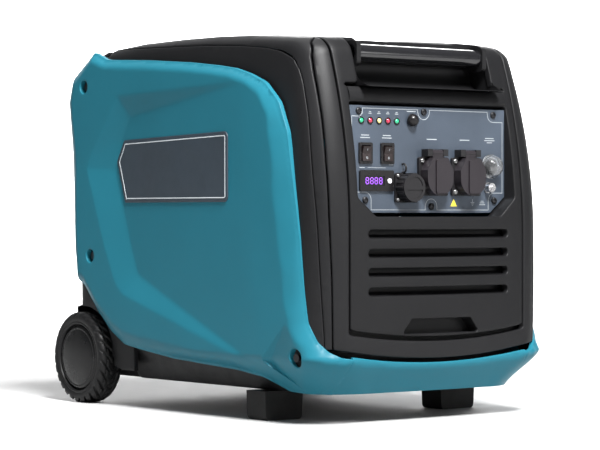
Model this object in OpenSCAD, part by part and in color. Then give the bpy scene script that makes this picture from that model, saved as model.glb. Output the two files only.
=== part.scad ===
// Inverter generator: closed case on two rear wheels, with its engine, alternator and power electronics inside.
// Frame: millimetres, +Z up, the control panel faces -Y, the wheels are at +Y,
// origin at the middle of the footprint on the ground.

/* [Case] */
// distance from the middle of the object to the front of the case
front_y = 308; // [290:1:320]
// distance from the middle of the object to the rear wall of the black case
rear_y = 262; // [250:1:275]
// half of the width of the black case
case_hw = 192; // [180:1:198]
// height of the top cover's crown
case_top = 507; // [490:1:520]
// wall thickness of the black mouldings
wall = 3.2; // [2.5:0.1:4]
// width of the visible joints between mouldings
seam = 1.6; // [0.8:0.1:2.5]
// half of the width over the side covers
cover_hw = 204; // [198:1:210]
// greatest depth of the recessed field in a side cover
field_depth = 8; // [4:0.5:9]
// lean of a label plate, which follows the floor of the field
label_lean = 1.49; // [0:0.01:2]
// half of the width of the front panel
panel_hw = 147.4; // [140:0.1:150]

/* [Running gear] */
// outer radius of a tyre
tyre_r = 64; // [60:0.5:70]
// width of a tyre
tyre_w = 38; // [30:0.5:42]
// distance of the axle behind the middle of the object
axle_y = 241; // [230:1:245]
// radius of the axle
axle_r = 6; // [5:0.5:8]
// running clearance between the axle and a wheel hub
axle_gap = 0.08; // [0.02:0.01:0.1]
// height of the case floor above the ground
floor_z = 38; // [34:1:42]
// radius of a hub cap
cap_r = 45.5; // [40:0.5:48]

/* [Control panel] */
// distance of the control plate in front of the middle of the object
plate_y = 280; // [275:1:285]
// half of the width of the control plate
plate_hw = 132.5; // [125:0.5:134]
// size of the square flange of a mains socket
flange = 50; // [46:1:54]
// height of the middle of the mains sockets
socket_z = 315; // [305:1:325]

/* [Handle] */
// radius of the pull handle's grip tube
tube_r = 11.5; // [10:0.5:13]
// height of the middle of the grip tube
tube_z = 472; // [468:1:476]
// distance of the grip tube in front of the middle of the object
tube_y = 257; // [252:1:262]
// length of the handle arms inside the case
arm_len = 300; // [240:5:320]

/* [Engine] */
// distance of the crankshaft behind the middle of the object
crank_y = 20; // [10:1:30]
// height of the crankshaft
crank_z = 190; // [180:1:200]
// outer radius of the alternator's rotor
rotor_r = 78; // [70:1:85]

/* [View] */
// piece to draw, or all of them

/* [Hidden] */
$fn = 64;
eps = 0.3;

black = [0.13, 0.13, 0.14];
dark = [0.08, 0.08, 0.09];
teal = [0.13, 0.45, 0.53];
plate_grey = [0.35, 0.4, 0.46];
steel = [0.62, 0.64, 0.66];
alloy = [0.7, 0.71, 0.72];
rubber_black = [0.07, 0.07, 0.07];

seam_x = 176;
groove_x = 171;
recess_hw = 134;
beam_low = 410;
beam_high = 428;
plate_high = 404;
tyre_out = 203;
deck_z = floor_z + 4.6;
louvre_zs = [241, 216.5, 192.5, 168];
socket_xs = [5, 62];
// places and radii of the screw recesses in a side cover
cover_holes = [[222, 445, 9.5], [206, 208, 9.5], [-258, 86, 12]];
arm_in = 104;
arm_out = 111;
arm_low = 463;
arm_high = 481;
plate_holes = [[-118, 397], [-9, 398], [112, 397], [-107, 284], [4, 276], [114, 284]];
led_xs = [for (i = [0 : 4]) 14.7 * i - 113.5];
pull_y = 40;
pull_z = 250;

// points on an arc about [cx, cy]
function arc(cx, cy, r, a0, a1, n = 6) =
  [for (i = [0 : n]) [cx + r * cos(a0 + (a1 - a0) * i / n), cy + r * sin(a0 + (a1 - a0) * i / n)]];
// a rectangle between two corners, with rounded corners
function rounded(x0, y0, x1, y1, r) = concat(
  arc(x1 - r, y1 - r, r, 0, 90, 5), arc(x0 + r, y1 - r, r, 90, 180, 5),
  arc(x0 + r, y0 + r, r, 180, 270, 5), arc(x1 - r, y0 + r, r, 270, 360, 5));

// prisms along each axis, each between two stations
module along_x(x0, x1) {
  translate([x0, 0, 0]) rotate([90, 0, 90]) linear_extrude(x1 - x0) children();
}
module along_y(y0, y1) {
  translate([0, y1, 0]) rotate([90, 0, 0]) linear_extrude(y1 - y0) children();
}
module along_z(z0, z1) {
  translate([0, 0, z0]) linear_extrude(z1 - z0) children();
}
module box(x0, x1, y0, y1, z0, z1) {
  translate([x0, y0, z0]) cube([x1 - x0, y1 - y0, z1 - z0]);
}
module tube_x(x0, x1, r, y, z) {
  translate([x0, y, z]) rotate([0, 90, 0]) cylinder(h = x1 - x0, r = r);
}
module tube_y(y0, y1, r, x, z) {
  translate([x, y1, z]) rotate([90, 0, 0]) cylinder(h = y1 - y0, r = r);
}
module tube_z(z0, z1, r, x, y) {
  translate([x, y, z0]) cylinder(h = z1 - z0, r = r);
}
module both_sides() {
  children();
  mirror([1, 0, 0]) children();
}

// outline of the black case seen from the side
module side_outline() {
  polygon(concat(
    [[-front_y, 81], [-front_y, 250], [1 - front_y, 300], [6 - front_y, 345], [13 - front_y, 385],
      [23 - front_y, 427], [33 - front_y, 457]],
    arc(-254, 477, 14, 168, 100, 4),
    [[-225, 495], [-180, 500], [-120, 504], [-50, case_top - 1], [30, case_top], [126, case_top - 1],
      [190, 502], [214, 494], [rear_y, 444], [rear_y, 60], [rear_y - 12, floor_z], [-268, floor_z]]));
}
// outline of the black case seen from the front
module front_outline() {
  polygon(concat(
    [[160, floor_z], [187, 86], [190, 100], [case_hw, 182], [case_hw - 2, 330], [185, 423], [180, 470]],
    arc(158, 476, 21, 5, 60, 4), [[140, 503], [110, case_top]],
    [[-110, case_top], [-140, 503]], arc(-158, 476, 21, 120, 175, 4),
    [[-180, 470], [-185, 423], [2 - case_hw, 330], [-case_hw, 182], [-190, 100], [-187, 86], [-160, floor_z]]));
}
// outline of the black case seen from above
module plan_outline() {
  r = 42;
  x = case_hw - r;
  y = 6 - front_y + r;
  polygon(concat(
    arc(x, rear_y - 24, 24, 0, 90, 4), arc(24 - case_hw, rear_y - 24, 24, 90, 180, 4),
    arc(-x, y, r, 180, 270, 7), [[-100, 2.5 - front_y], [-50, 0.6 - front_y], [0, -front_y],
      [50, 0.6 - front_y], [100, 2.5 - front_y]], arc(x, y, r, 270, 360, 7),
    [[case_hw, 0]]));
}
module case_solid(inset) {
  difference() {
    intersection() {
      along_x(-260, 260) offset(delta = -inset) side_outline();
      along_y(-400, 400) offset(delta = -inset) front_outline();
      along_z(0, 600) offset(delta = -inset) plan_outline();
    }
    // shallow dip in the top, behind the handle
    along_x(-84 - inset, 84 + inset)
      polygon([[-330, 478 - inset], [20, 507.4 - inset], [20, 530], [-330, 530]]);
  }
}
module case_skin() {
  difference() {
    case_solid(0);
    case_solid(wall);
  }
}

// outline of a side cover, without its wheel arch
module cover_outline() {
  polygon(concat(
    [[208, 494], [262, 455], [273, 425], [268, 352], [260, 221], [255, 172], [207, 150], [150, 60], [100, 60],
      [-120, 60], [-252, 60], [-262, 129], [-254, 190], [-246, 237], [-234, 330], [-222, 386]],
    arc(-160, 385, 61, 178, 112, 6),
    [[-158, 446], [-125, 455], [-83, 461], [-19, 468], [71, 475], [168, 481], [180, 482], [200, 494]]));
}
// lower rim of the case that the bumper and the covers wrap round
module lower_blank(inset) {
  intersection() {
    along_x(-260, 260) offset(delta = -inset) polygon([[-312, 140], [-312, 84], [-284, floor_z],
      [200, floor_z], [200, 140]]);
    along_y(-400, 400) offset(delta = -inset) polygon([[-cover_hw, 140], [-cover_hw, 84],
      [-166, floor_z], [166, floor_z], [cover_hw, 84], [cover_hw, 140]]);
    along_z(0, 200) offset(delta = -inset) polygon(concat(
      arc(-146, -250, 58, 180, 270, 8), [[-100, -310], [-50, -311.5], [0, -312], [50, -311.5],
        [100, -310]], arc(146, -250, 58, 270, 360, 8), [[cover_hw, 200], [-cover_hw, 200]]));
  }
}
// everything above the dished top edge of the bumper
module above_bumper(z_mid) {
  translate([0, 0, z_mid + 1000]) rotate([90, 0, 0]) cylinder(h = 760, r = 1000, center = true, $fn = 240);
}
module arch(r) {
  tube_x(-260, 260, r, axle_y, tyre_r);
}

module base_pan() {
  color(dark) {
    difference() {
      union() {
        intersection() {
          box(-186, 186, -268, 150, floor_z, 96);
          case_solid(0.6);
        }
        box(-152, 152, 140, 250, floor_z, 96);
      }
      difference() {
        intersection() {
          box(-182, 182, -262, 146, deck_z, 97);
          case_solid(4.6);
        }
        box(-183, 183, 143, 150, floor_z, 60);
      }
      box(-148, 148, 136, 246, floor_z + 4, 97);
      tube_x(-160, 160, axle_r + 0.05, axle_y, tyre_r);
      for (x = [-60, 0, 60]) box(x - 20, x + 20, -100, -94, floor_z - 1, floor_z + 5);
      for (x = [-60, 0, 60]) box(x - 20, x + 20, 90, 96, floor_z - 1, floor_z + 5);
    }
    both_sides() difference() {
      box(-152, -144, 226, 256, floor_z, 88);
      tube_x(-160, -140, axle_r + 0.05, axle_y, tyre_r);
    }
  }
}
module front_feet() {
  color(rubber_black) both_sides() difference() {
    along_y(-170, -130) polygon(concat([[119, floor_z]], arc(126.5, 6, 6, 180, 270, 4),
      arc(173.5, 6, 6, 270, 360, 4), [[181, floor_z]]));
    translate([150, -150, -1]) cylinder(h = 24, r = 9);
  }
}
module engine_mounts() {
  color(rubber_black) for (x = [-85, 35], y = [-45, 85])
    translate([x, y, deck_z + eps]) cylinder(h = 25.4, r = 14);
}
module axle() {
  color(steel) tube_x(-tyre_out + 6, tyre_out - 6, axle_r, axle_y, tyre_r);
}

// a wheel is drawn about the X axis, its outer face at x = 0 and its body towards +x
module tyre_body() {
  difference() {
    rotate([0, 90, 0]) rotate_extrude($fn = 96) polygon(concat(
      [[47.2, 0.8]], arc(tyre_r - 8, 8, 8, 270, 360, 4), arc(tyre_r - 8, tyre_w - 8, 8, 0, 90, 4),
      [[47, tyre_w - 0.8], [44, tyre_w - 6], [44, 7.4], [46, 7.2]]));
    for (a = [0 : 15 : 345]) rotate([a, 0, 0]) {
      translate([3, 0, tyre_r]) rotate([0, 0, 28]) cube([22, 3.4, 5], center = true);
      translate([tyre_w - 3, 0, tyre_r]) rotate([0, 0, -28]) cube([22, 3.4, 5], center = true);
    }
  }
}
module hub_body() {
  difference() {
    rotate([0, 90, 0]) rotate_extrude($fn = 96) polygon([[axle_r + axle_gap, 12], [14, 12], [14, 18],
      [40, 18], [40, 7], [43.7, 7], [43.7, tyre_w - 7], [40, tyre_w - 7], [40, 24], [14, 24],
      [14, tyre_w], [axle_r + axle_gap, tyre_w]]);
    for (a = [0 : 60 : 300]) rotate([a, 0, 0]) translate([10, 0, 27]) rotate([0, 90, 0])
      cylinder(h = 20, r = 8);
  }
}
module hubcap_body() {
  rotate([0, 90, 0]) rotate_extrude($fn = 96) polygon([[0, -1.4], [20, -1], [36, 0.2], [42, 2],
    [cap_r, 5], [cap_r - 2, 6.6], [39.5, 6.6], [39.5, 12], [37.5, 12], [37.5, 4.6], [0, 4.6]]);
}
module at_left_wheel() {
  translate([-tyre_out, axle_y, tyre_r]) children();
}
module tyre_left() {
  color(rubber_black) at_left_wheel() tyre_body();
}
module hub_left() {
  color(dark) at_left_wheel() hub_body();
}
module hubcap_left() {
  color(black) at_left_wheel() translate([0.2, 0, 0]) hubcap_body();
}
module tyre_right() {
  mirror([1, 0, 0]) tyre_left();
}
module hub_right() {
  mirror([1, 0, 0]) hub_left();
}
module hubcap_right() {
  mirror([1, 0, 0]) hubcap_left();
}

// side band of the case, which carries a side cover, with the drum the wheel stands in
module shroud_left() {
  color(black) {
    difference() {
      intersection() {
        case_skin();
        union() {
          box(-200, -seam_x - seam / 2, -230.6, rear_y + 1, 98, 520);
          box(-200, -179.4, -320, -230.5, 98, 520);
        }
      }
      intersection() {
        along_x(-220, -150) offset(delta = -14) cover_outline();
        box(-220, -150, -320, 236, 0, 600);
      }
      box(-220, -150, -240, rear_y + 2, 20, 140);
    }
    difference() {
      intersection() {
        tube_x(-190, -156, 79, axle_y, tyre_r);
        box(-200, -150, 150, rear_y - 4, 98, 160);
      }
      tube_x(-191, -159, 76, axle_y, tyre_r);
    }
  }
}
module shroud_right() {
  mirror([1, 0, 0]) shroud_left();
}
// spine over the top, with a horn down each front corner
module top_cover() {
  color(black) difference() {
    union() {
      intersection() {
        case_skin();
        union() {
          box(seam / 2 - seam_x, seam_x - seam / 2, -232, 210, 470, 520);
          both_sides() box(-179, -groove_x - 1.2, -320, -231, 98, 520);
        }
      }
      intersection() {
        case_solid(wall - 0.4);
        union() {
          translate([0, 60, 470]) cylinder(h = 37, r = 42);
          both_sides() box(96, 119, -228, 60, 459, 500);
        }
      }
    }
    // well of the filler cap
    translate([0, 60, 495]) cylinder(h = 30, r = 36);
    translate([0, 60, 460]) cylinder(h = 50, r = 27);
    // channels that guide the handle arms
    both_sides() box(arm_in - 0.4, arm_out + 0.4, -240, 62, arm_low - 0.4, arm_high + 0.4);
  }
}
// ring between the spine and the front panel
module front_frame() {
  color(black) difference() {
    intersection() {
      case_skin();
      box(-groove_x + 0.6, groove_x - 0.6, -320, -234, 70, 520);
      above_bumper(82);
    }
    intersection() {
      box(-panel_hw - seam, panel_hw + seam, -330, -200, 90, 530);
      above_bumper(104);
    }
  }
}
module front_panel() {
  scoop = concat([[-236, 461], [-231, 461], [-231, 446]], arc(-262, 462, 34, 330, 262, 6),
    [[-290, beam_high], [-330, beam_high], [-330, 530], [-236, 530]]);
  color(black) difference() {
    union() {
      intersection() {
        case_solid(0);
        box(-panel_hw, panel_hw, -320, -234, 90, 520);
        above_bumper(106);
      }
      box(-113, 113, -238, -229, 424, 461);
    }
    // hollow behind the skin
    difference() {
      intersection() {
        case_solid(5);
        box(-panel_hw + 4, panel_hw - 4, -310, -200, 60, 520);
      }
      box(-recess_hw - 4, recess_hw + 4, -320, -276, 254, 436);
      box(-150, 150, -290, -220, 422, 470);
      both_sides() box(-150, -111, -320, -230, 424, 520);
      box(-80, 80, -310, -284, 100, 140);
    }
    both_sides() intersection() {
      case_solid(5);
      box(5 - panel_hw, -120, -320, -225, 438, 520);
    }
    // hand space round the grip tube
    along_x(-115, 115) polygon(scoop);
    box(-recess_hw, recess_hw, -330, -283, beam_high, 433);
    // control recess with its angled lower corners
    along_y(-330, -plate_y) polygon([[-recess_hw, beam_low], [-recess_hw, 287], [-106, 263],
      [106, 263], [recess_hw, 287], [recess_hw, beam_low]]);
    // opening behind the control plate
    along_y(-300, -270) polygon([[-126, 394], [-126, 298], [-98, 279], [98, 279], [126, 298], [126, 394]]);
    // air slots
    for (z = louvre_zs) along_y(-330, -290) polygon(rounded(-119, z - 5.4, 119, z + 5.4, 5.3));
    // slots the handle arms slide through
    both_sides() box(arm_in - 0.4, arm_out + 0.4, -240, -230, arm_low - 0.4, arm_high + 0.4);
    // finger recess under the slots
    along_y(-330, -288) polygon([[-50, 132.5], [50, 132.5], [66, 112], [-66, 112]]);
  }
}
module rear_panel() {
  color(black) difference() {
    union() {
      intersection() {
        case_skin();
        box(-175, 175, 211.6, 270, 98, 520);
      }
      along_y(rear_y - 1, rear_y + 5) polygon(rounded(-130, 150, 110, 330, 12));
    }
    both_sides() tube_x(-200, -154, 80, axle_y, tyre_r);
    for (z = [170 : 15 : 305]) box(-118, 98, rear_y - 8, rear_y + 8, z, z + 7);
  }
}

// teal cover on one side
module cover_blank() {
  hull() {
    along_x(10 - cover_hw, -168) cover_outline();
    along_x(3 - cover_hw, -168) offset(delta = -2.6) cover_outline();
    along_x(-cover_hw, -168) offset(delta = -9) cover_outline();
  }
}
// faceted field in a side cover, deepest towards the rear
module cover_field() {
  hull() {
    along_x(-cover_hw - 1, -cover_hw) polygon([[-150, 437], [138, 429], [205, 350], [215, 330],
      [172, 225], [143, 171], [125, 156], [-150, 80], [-186, 74]]);
    along_x(-cover_hw - 1, field_depth - cover_hw) polygon([[119, 397], [154, 341], [144, 283],
      [115, 222], [96, 182]]);
  }
}
module side_cover_left() {
  color(teal) difference() {
    union() {
      intersection() {
        cover_blank();
        union() {
          box(-260, -150, -400, 400, 84, 520);
          lower_blank(0);
        }
      }
      intersection() {
        lower_blank(0);
        along_x(-260, -148) polygon([[-225, 140], [-263, 140], [-266, 124], [-285, 106], [-320, 91],
          [-320, floor_z], [-225, floor_z]]);
        along_y(-400, 0) polygon([[-260, 140], [-150, 140], [-148, 89], [-154, 74],
          [-168, floor_z], [-260, floor_z]]);
      }
    }
    case_solid(-eps);
    // hollow of the wrapped rear edge and of the lower rim
    intersection() {
      along_x(-199, -100) offset(delta = -5) cover_outline();
      box(-199, -100, rear_y - 1, 300, 150, 520);
    }
    intersection() {
      lower_blank(4);
      box(-260, -140, -320, 0, floor_z + 1, 120);
      along_x(-260, -100) polygon([[-320, 0], [-320, 120], [-225, 120], [-210, 80], [0, 80], [0, 0]]);
    }
    cover_field();
    arch(99);
    along_x(-260, -100) polygon([[300, 0], [300, 168], [206, 168], [176, 133], [142, 105], [109, 89],
      [4, 74], [-125, 65], [-186, 60], [-222, 45], [-222, 0]]);
    for (p = cover_holes) {
      tube_x(-230, -195.5, p[2], p[0], p[1]);
      tube_x(-230, -150, 3, p[0], p[1]);
    }
  }
}
module side_cover_right() {
  color(teal) difference() {
    mirror([1, 0, 0]) side_cover_left();
    along_x(180, 230) polygon(rounded(2, 234, 78, 266, 8));
  }
}
module front_bumper() {
  color(teal) difference() {
    intersection() {
      lower_blank(0);
      along_y(-400, -200) polygon([[-147, 100], [-147, 89], [-153, 74], [-167, 30], [167, 30],
        [153, 74], [147, 89], [147, 100]]);
    }
    above_bumper(76);
    intersection() {
      lower_blank(3.6);
      box(-260, 260, -320, -180, floor_z + 1, 140);
    }
    case_solid(-eps);
    box(-260, 260, -232, -100, 0, 140);
  }
}

module cover_screws() {
  color(steel) both_sides() for (p = cover_holes) {
    tube_x(-199, -195.6, 5.4, p[0], p[1]);
    tube_x(-195.6, -188, 2.4, p[0], p[1]);
  }
}
// five-sided plate on the flat field of each cover
module label_outline() {
  polygon(concat([[148, 339], [128, 282]], arc(-113, 289, 7, 270, 180, 4),
    arc(-113, 367, 7, 180, 90, 4), [[130, 368]]));
}
module label_plate_left() {
  color(plate_grey) translate([-cover_hw, -162, 0]) rotate([0, 0, -label_lean])
    translate([0, 162, 0]) along_x(-1.05, -0.15) label_outline();
}
module label_plate_right() {
  mirror([1, 0, 0]) label_plate_left();
}

module handle_grip() {
  color(dark) difference() {
    tube_x(-arm_out, arm_out, tube_r, -tube_y, tube_z);
    tube_x(-arm_out - 1, arm_out + 1, tube_r - 2, -tube_y, tube_z);
  }
}
module handle_arms() {
  color(dark) both_sides() difference() {
    union() {
      along_x(arm_in, arm_out) polygon(rounded(-tube_y - 13.5, 455, 18.5 - tube_y, 487.5, 7));
      box(arm_in, arm_out, -tube_y + 10, arm_len - tube_y, arm_low, arm_high);
    }
    tube_x(arm_in - 1, arm_out + 1, tube_r + 0.02, -tube_y, tube_z);
  }
}
module fuel_cap() {
  color(black) difference() {
    union() {
      translate([0, 60, 498]) cylinder(h = 8, r = 29);
      translate([0, 60, 486]) cylinder(h = 13, r = 24.5);
      translate([-27, 56, 498]) cube([54, 8, 8.6]);
    }
    translate([0, 60, 480]) cylinder(h = 17.6, r = 20.6);
    for (a = [0 : 20 : 340]) translate([0, 60, 496]) rotate([0, 0, a + 10])
      translate([30.2, 0, 0]) cylinder(h = 12, r = 2.6);
  }
}
module fuel_tank() {
  color(dark) difference() {
    union() {
      along_z(376, 452) polygon(rounded(-148, -188, 148, 168, 26));
      translate([0, 60, 450]) cylinder(h = 46, r = 20);
    }
    along_z(379, 449) polygon(rounded(-145, -185, 145, 165, 23));
    translate([0, 60, 440]) cylinder(h = 60, r = 17);
  }
}

module control_plate() {
  color(plate_grey) difference() {
    along_y(-plate_y - 2, -plate_y - 0.02) polygon([[-plate_hw, plate_high], [-plate_hw, 289],
      [-107, 268], [107, 268], [plate_hw, 289], [plate_hw, plate_high]]);
    for (x = led_xs) tube_y(-300, -270, 3.1, x, 385);
    tube_y(-300, -270, 6.4, -30, 387);
    for (x = [-107, -71]) box(x - 9.2, x + 9.2, -300, -270, 331.5, 355.5);
    box(-115.6, -62.4, -300, -270, 296.6, 320.6);
    tube_y(-300, -270, 14.3, -40, 300);
    for (x = socket_xs) tube_y(-300, -270, 20.3, x, socket_z);
    tube_y(-300, -270, 10.3, 106, 329);
    tube_y(-300, -270, 4.3, 102, 301);
    for (p = plate_holes) tube_y(-300, -270, 2.3, p[0], p[1]);
  }
}
module panel_screws() {
  color(dark) {
    for (p = plate_holes) {
      tube_y(-plate_y - 4.6, -plate_y - 2.05, 4.4, p[0], p[1]);
      tube_y(-plate_y - 2.05, -plate_y - 0.05, 2.2, p[0], p[1]);
    }
    for (x = socket_xs, i = [-1, 1], j = [-1, 1]) tube_y(-plate_y - 8.6, -plate_y - 6.05, 3, x + 20 * i,
      socket_z + 20 * j);
    for (i = [-1, 1], j = [-1, 1]) tube_y(-plate_y - 7.6, -plate_y - 5.05, 2.2, 15.4 * i - 40,
      15.4 * j + 300);
  }
}
module led_lamps() {
  for (i = [0 : 4]) color([[0.1, 0.7, 0.4], [0.8, 0.1, 0.15], [0.9, 0.8, 0.3], [0.8, 0.1, 0.15],
    [0.1, 0.7, 0.4]][i]) {
    tube_y(-plate_y - 3.2, -plate_y - 2.05, 4.2, led_xs[i], 385);
    tube_y(-plate_y - 2.2, -plate_y + 8, 3, led_xs[i], 385);
  }
}
// drawn along -Y from the plate, pressed towards +Y
module reset_button() {
  color(dark) translate([-30, -plate_y - 4.6, 387]) rotate([90, 0, 0]) rotate_extrude()
    polygon(concat([[0, -12]], [[6.3, -12], [6.3, 0], [8.4, 0]], arc(0, 0, 8.4, 12, 90, 7)));
}
module rocker_bezels() {
  color(dark) for (x = [-107, -71]) difference() {
    union() {
      along_y(-plate_y - 4.4, -plate_y - 2.05) polygon(rounded(x - 11, 330, x + 11, 357, 2));
      box(x - 9, x + 9, -plate_y - 2.4, -plate_y + 22, 331.8, 355.2);
    }
    box(x - 7.4, x + 7.4, -plate_y - 6, -plate_y + 16, 333.4, 353.6);
    tube_x(x - 8.3, x + 8.3, 1.55, -plate_y - 1, 343.5);
  }
}
module rocker_body(x) {
  color(black) {
    translate([x, -plate_y - 1, 343.5]) rotate([7, 0, 0]) along_x(-7, 7) polygon([[7, -5],
      [1, -9.4], [-6.6, -9.2], [-4.6, 0], [-6.6, 9.2], [1, 9.4], [7, 5]]);
    tube_x(x - 8.2, x + 8.2, 1.5, -plate_y - 1, 343.5);
  }
}
module rocker_run() {
  rocker_body(-107);
}
module rocker_eco() {
  rocker_body(-71);
}
module display_module() {
  color(dark) difference() {
    union() {
      along_y(-plate_y - 4.8, -plate_y - 2.05) polygon(rounded(-117, 295.2, -61, 322, 2.4));
      box(-115.2, -62.8, -plate_y - 2.4, -plate_y + 20, 297, 320.2);
    }
    box(-109, -77, -plate_y - 6, -plate_y - 3.6, 302.5, 314.5);
    tube_y(-plate_y - 6, -plate_y + 4, 3.3, -69, 308.5);
  }
}
module display_button() {
  color([0.85, 0.85, 0.85]) tube_y(-plate_y - 6, -plate_y + 2, 3.22, -69, 308.5);
}
module dc_socket() {
  color(dark) {
    difference() {
      union() {
        along_y(-plate_y - 5, -plate_y - 2.05) polygon(rounded(-59, 281, -21, 319, 3));
        tube_y(-plate_y - 11, -plate_y + 24, 14, -40, 300);
      }
      tube_y(-plate_y - 20, -plate_y + 6, 11, -40, 300);
    }
    for (a = [90, 210, 330]) tube_y(-plate_y - 6, -plate_y + 8, 1.6, -40 + 5.5 * cos(a), 300 + 5.5 * sin(a));
    intersection() {
      translate([-45, -plate_y - 4, 325]) rotate([90, 0, 90]) rotate_extrude()
        translate([5.6, 0]) circle(r = 1.3, $fn = 24);
      box(-50, -40, -plate_y - 20, -plate_y - 2.05, 310, 340);
    }
  }
}
module dc_socket_cap() {
  color(black) difference() {
    union() {
      tube_y(-plate_y - 21, -plate_y - 5.4, 18, -40, 300);
      for (a = [0 : 20 : 340]) translate([-40 + 17.6 * cos(a), -plate_y - 6, 300 + 17.6 * sin(a)])
        rotate([90, 0, 0]) cylinder(h = 13, r = 1.5);
    }
    tube_y(-plate_y - 16, -plate_y, 14.4, -40, 300);
    difference() {
      tube_y(-plate_y - 23, -plate_y - 20, 14, -40, 300);
      box(-56, -24, -plate_y - 24, -plate_y - 19, 297.4, 302.6);
    }
  }
}
// square flanged outlets with a round well, two contact holes and side earth clips
module mains_sockets() {
  color(dark) for (x = socket_xs) {
    difference() {
      union() {
        along_y(-plate_y - 6, -plate_y - 2.05) polygon(rounded(x - flange / 2, socket_z - flange / 2,
          x + flange / 2, socket_z + flange / 2, 3));
        tube_y(-plate_y - 2.4, -plate_y + 32, 20, x, socket_z);
        box(x - 17.5, x - 9, -plate_y - 15, -plate_y - 5.8, socket_z + 26, socket_z + 35);
        box(x + 9, x + 17.5, -plate_y - 15, -plate_y - 5.8, socket_z + 26, socket_z + 35);
        box(x - 17.5, x + 17.5, -plate_y - 6.5, -plate_y - 2.05, socket_z + 24, socket_z + 35);
      }
      tube_y(-plate_y - 8, -plate_y + 12, 17.6, x, socket_z);
      for (i = [-1, 1]) tube_y(-plate_y, -plate_y + 26, 2.6, x + 9.5 * i, socket_z);
      tube_x(x - 20, x + 20, 1.84, -plate_y - 11, socket_z + 30.5);
    }
    tube_x(x - 17.5, x + 17.5, 1.8, -plate_y - 11, socket_z + 30.5);
    for (j = [-1, 1]) box(x - 2, x + 2, -plate_y - 1, -plate_y + 13, socket_z + 16.8 * j - 0.9,
      socket_z + 16.8 * j + 0.9);
  }
}
// sprung lid, hinged above the outlet
module socket_lid(x) {
  color([0.2, 0.18, 0.2]) difference() {
    union() {
      along_y(-plate_y - 20, -plate_y - 6.5) polygon(concat(arc(x, socket_z - 3, 22, 180, 360, 16),
        [[x + 22, socket_z + 8], [x + 13, socket_z + 24], [x - 13, socket_z + 24],
          [x - 22, socket_z + 8]]));
      along_y(-plate_y - 22, -plate_y - 19.8) polygon(rounded(x - 8.5, socket_z - 22, x + 8.5,
        socket_z + 22, 3));
      box(x - 8.5, x + 8.5, -plate_y - 14.5, -plate_y - 9, socket_z + 22, socket_z + 31);
      tube_x(x - 8.5, x + 8.5, 4, -plate_y - 11, socket_z + 30.5);
    }
    along_y(-plate_y - 17, -plate_y) polygon(concat(arc(x, socket_z - 3, 19.4, 180, 360, 16),
      [[x + 19.4, socket_z + 6.6], [x + 11.3, socket_z + 21], [x - 11.3, socket_z + 21],
        [x - 19.4, socket_z + 6.6]]));
    tube_x(x - 10, x + 10, 1.85, -plate_y - 11, socket_z + 30.5);
    box(x - 30, x + 30, -plate_y - 6.4, -plate_y + 2, socket_z - 40, socket_z + 40);
  }
}
module lid_one() {
  socket_lid(socket_xs[0]);
}
module lid_two() {
  socket_lid(socket_xs[1]);
}
module breaker_body() {
  color(dark) difference() {
    union() {
      tube_y(-plate_y - 4, -plate_y - 2.05, 15, 106, 329);
      tube_y(-plate_y - 2.4, -plate_y + 30, 10, 106, 329);
    }
    tube_y(-plate_y - 5, -plate_y + 10, 5.5, 106, 329);
  }
}
module breaker_button() {
  color([0.75, 0.72, 0.7]) {
    tube_y(-plate_y - 9.5, -plate_y + 4, 5.44, 106, 329);
  }
}
// clear cover over the breaker
module breaker_dome() {
  color([0.7, 0.75, 0.78, 0.4]) translate([106, -plate_y - 4.05, 329]) rotate([90, 0, 0])
    rotate_extrude() polygon(concat([[12.6, 0], [16, 0], [16, 3]], arc(0, 3, 15, 8, 90, 8),
      arc(0, 3, 13, 90, 4, 8)));
}
module ground_terminal() {
  color(steel) {
    tube_y(-plate_y - 16, -plate_y + 14, 3, 102, 301);
    tube_y(-plate_y - 4, -plate_y - 2.05, 7, 102, 301);
    tube_y(-plate_y - 12, -plate_y - 5, 6.2, 102, 301);
  }
}

module inverter_unit() {
  color(alloy) difference() {
    along_z(deck_z + eps, 236) polygon(rounded(-124, -258, 124, -206, 5));
    for (x = [-115 : 10 : 115]) box(x, x + 6, -262, -236, floor_z + 10, 230);
  }
}
module battery() {
  color(black) union() {
    along_z(deck_z + eps, 134) polygon(rounded(86, -186, 151, -98, 3));
    translate([102, -142, 134]) cylinder(h = 7, r = 5);
    translate([136, -142, 134]) cylinder(h = 7, r = 5);
  }
}
module crankcase() {
  color(alloy) difference() {
    union() {
      along_x(-76, 15) polygon(rounded(-50, 74, 90, 235, 20));
      box(-105, 55, -58, 98, 68.6, 80);
    }
    tube_x(-60, 20, 12.05, crank_y, crank_z);
    tube_x(-110, -66, 30, crank_y, crank_z);
  }
}
module barrel() {
  color(alloy) {
    tube_z(235.3, 318.3, 42, -31, 20);
    for (z = [241 : 8 : 312]) along_z(z, z + 3) polygon(rounded(-76, -34, 14, 74, 10));
  }
}
module valve_cover() {
  color(black) along_z(318.6, 350) polygon(rounded(-68, -26, 6, 66, 12));
}
module crankshaft() {
  color(steel) {
    tube_x(-58, 104, 12, crank_y, crank_z);
  }
}
module rotor() {
  color(steel) difference() {
    tube_x(20, 84, rotor_r, crank_y, crank_z);
    tube_x(10, 74, rotor_r - 8, crank_y, crank_z);
    tube_x(0, 90, 12.02, crank_y, crank_z);
  }
}
module stator() {
  color([0.6, 0.36, 0.2]) difference() {
    tube_x(15.3, 66, 68.8, crank_y, crank_z);
    tube_x(0, 70, 24, crank_y, crank_z);
    for (a = [0 : 20 : 340]) translate([22, crank_y, crank_z]) rotate([a, 0, 0])
      translate([0, -2, 36]) cube([50, 4, 40]);
  }
}
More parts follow.
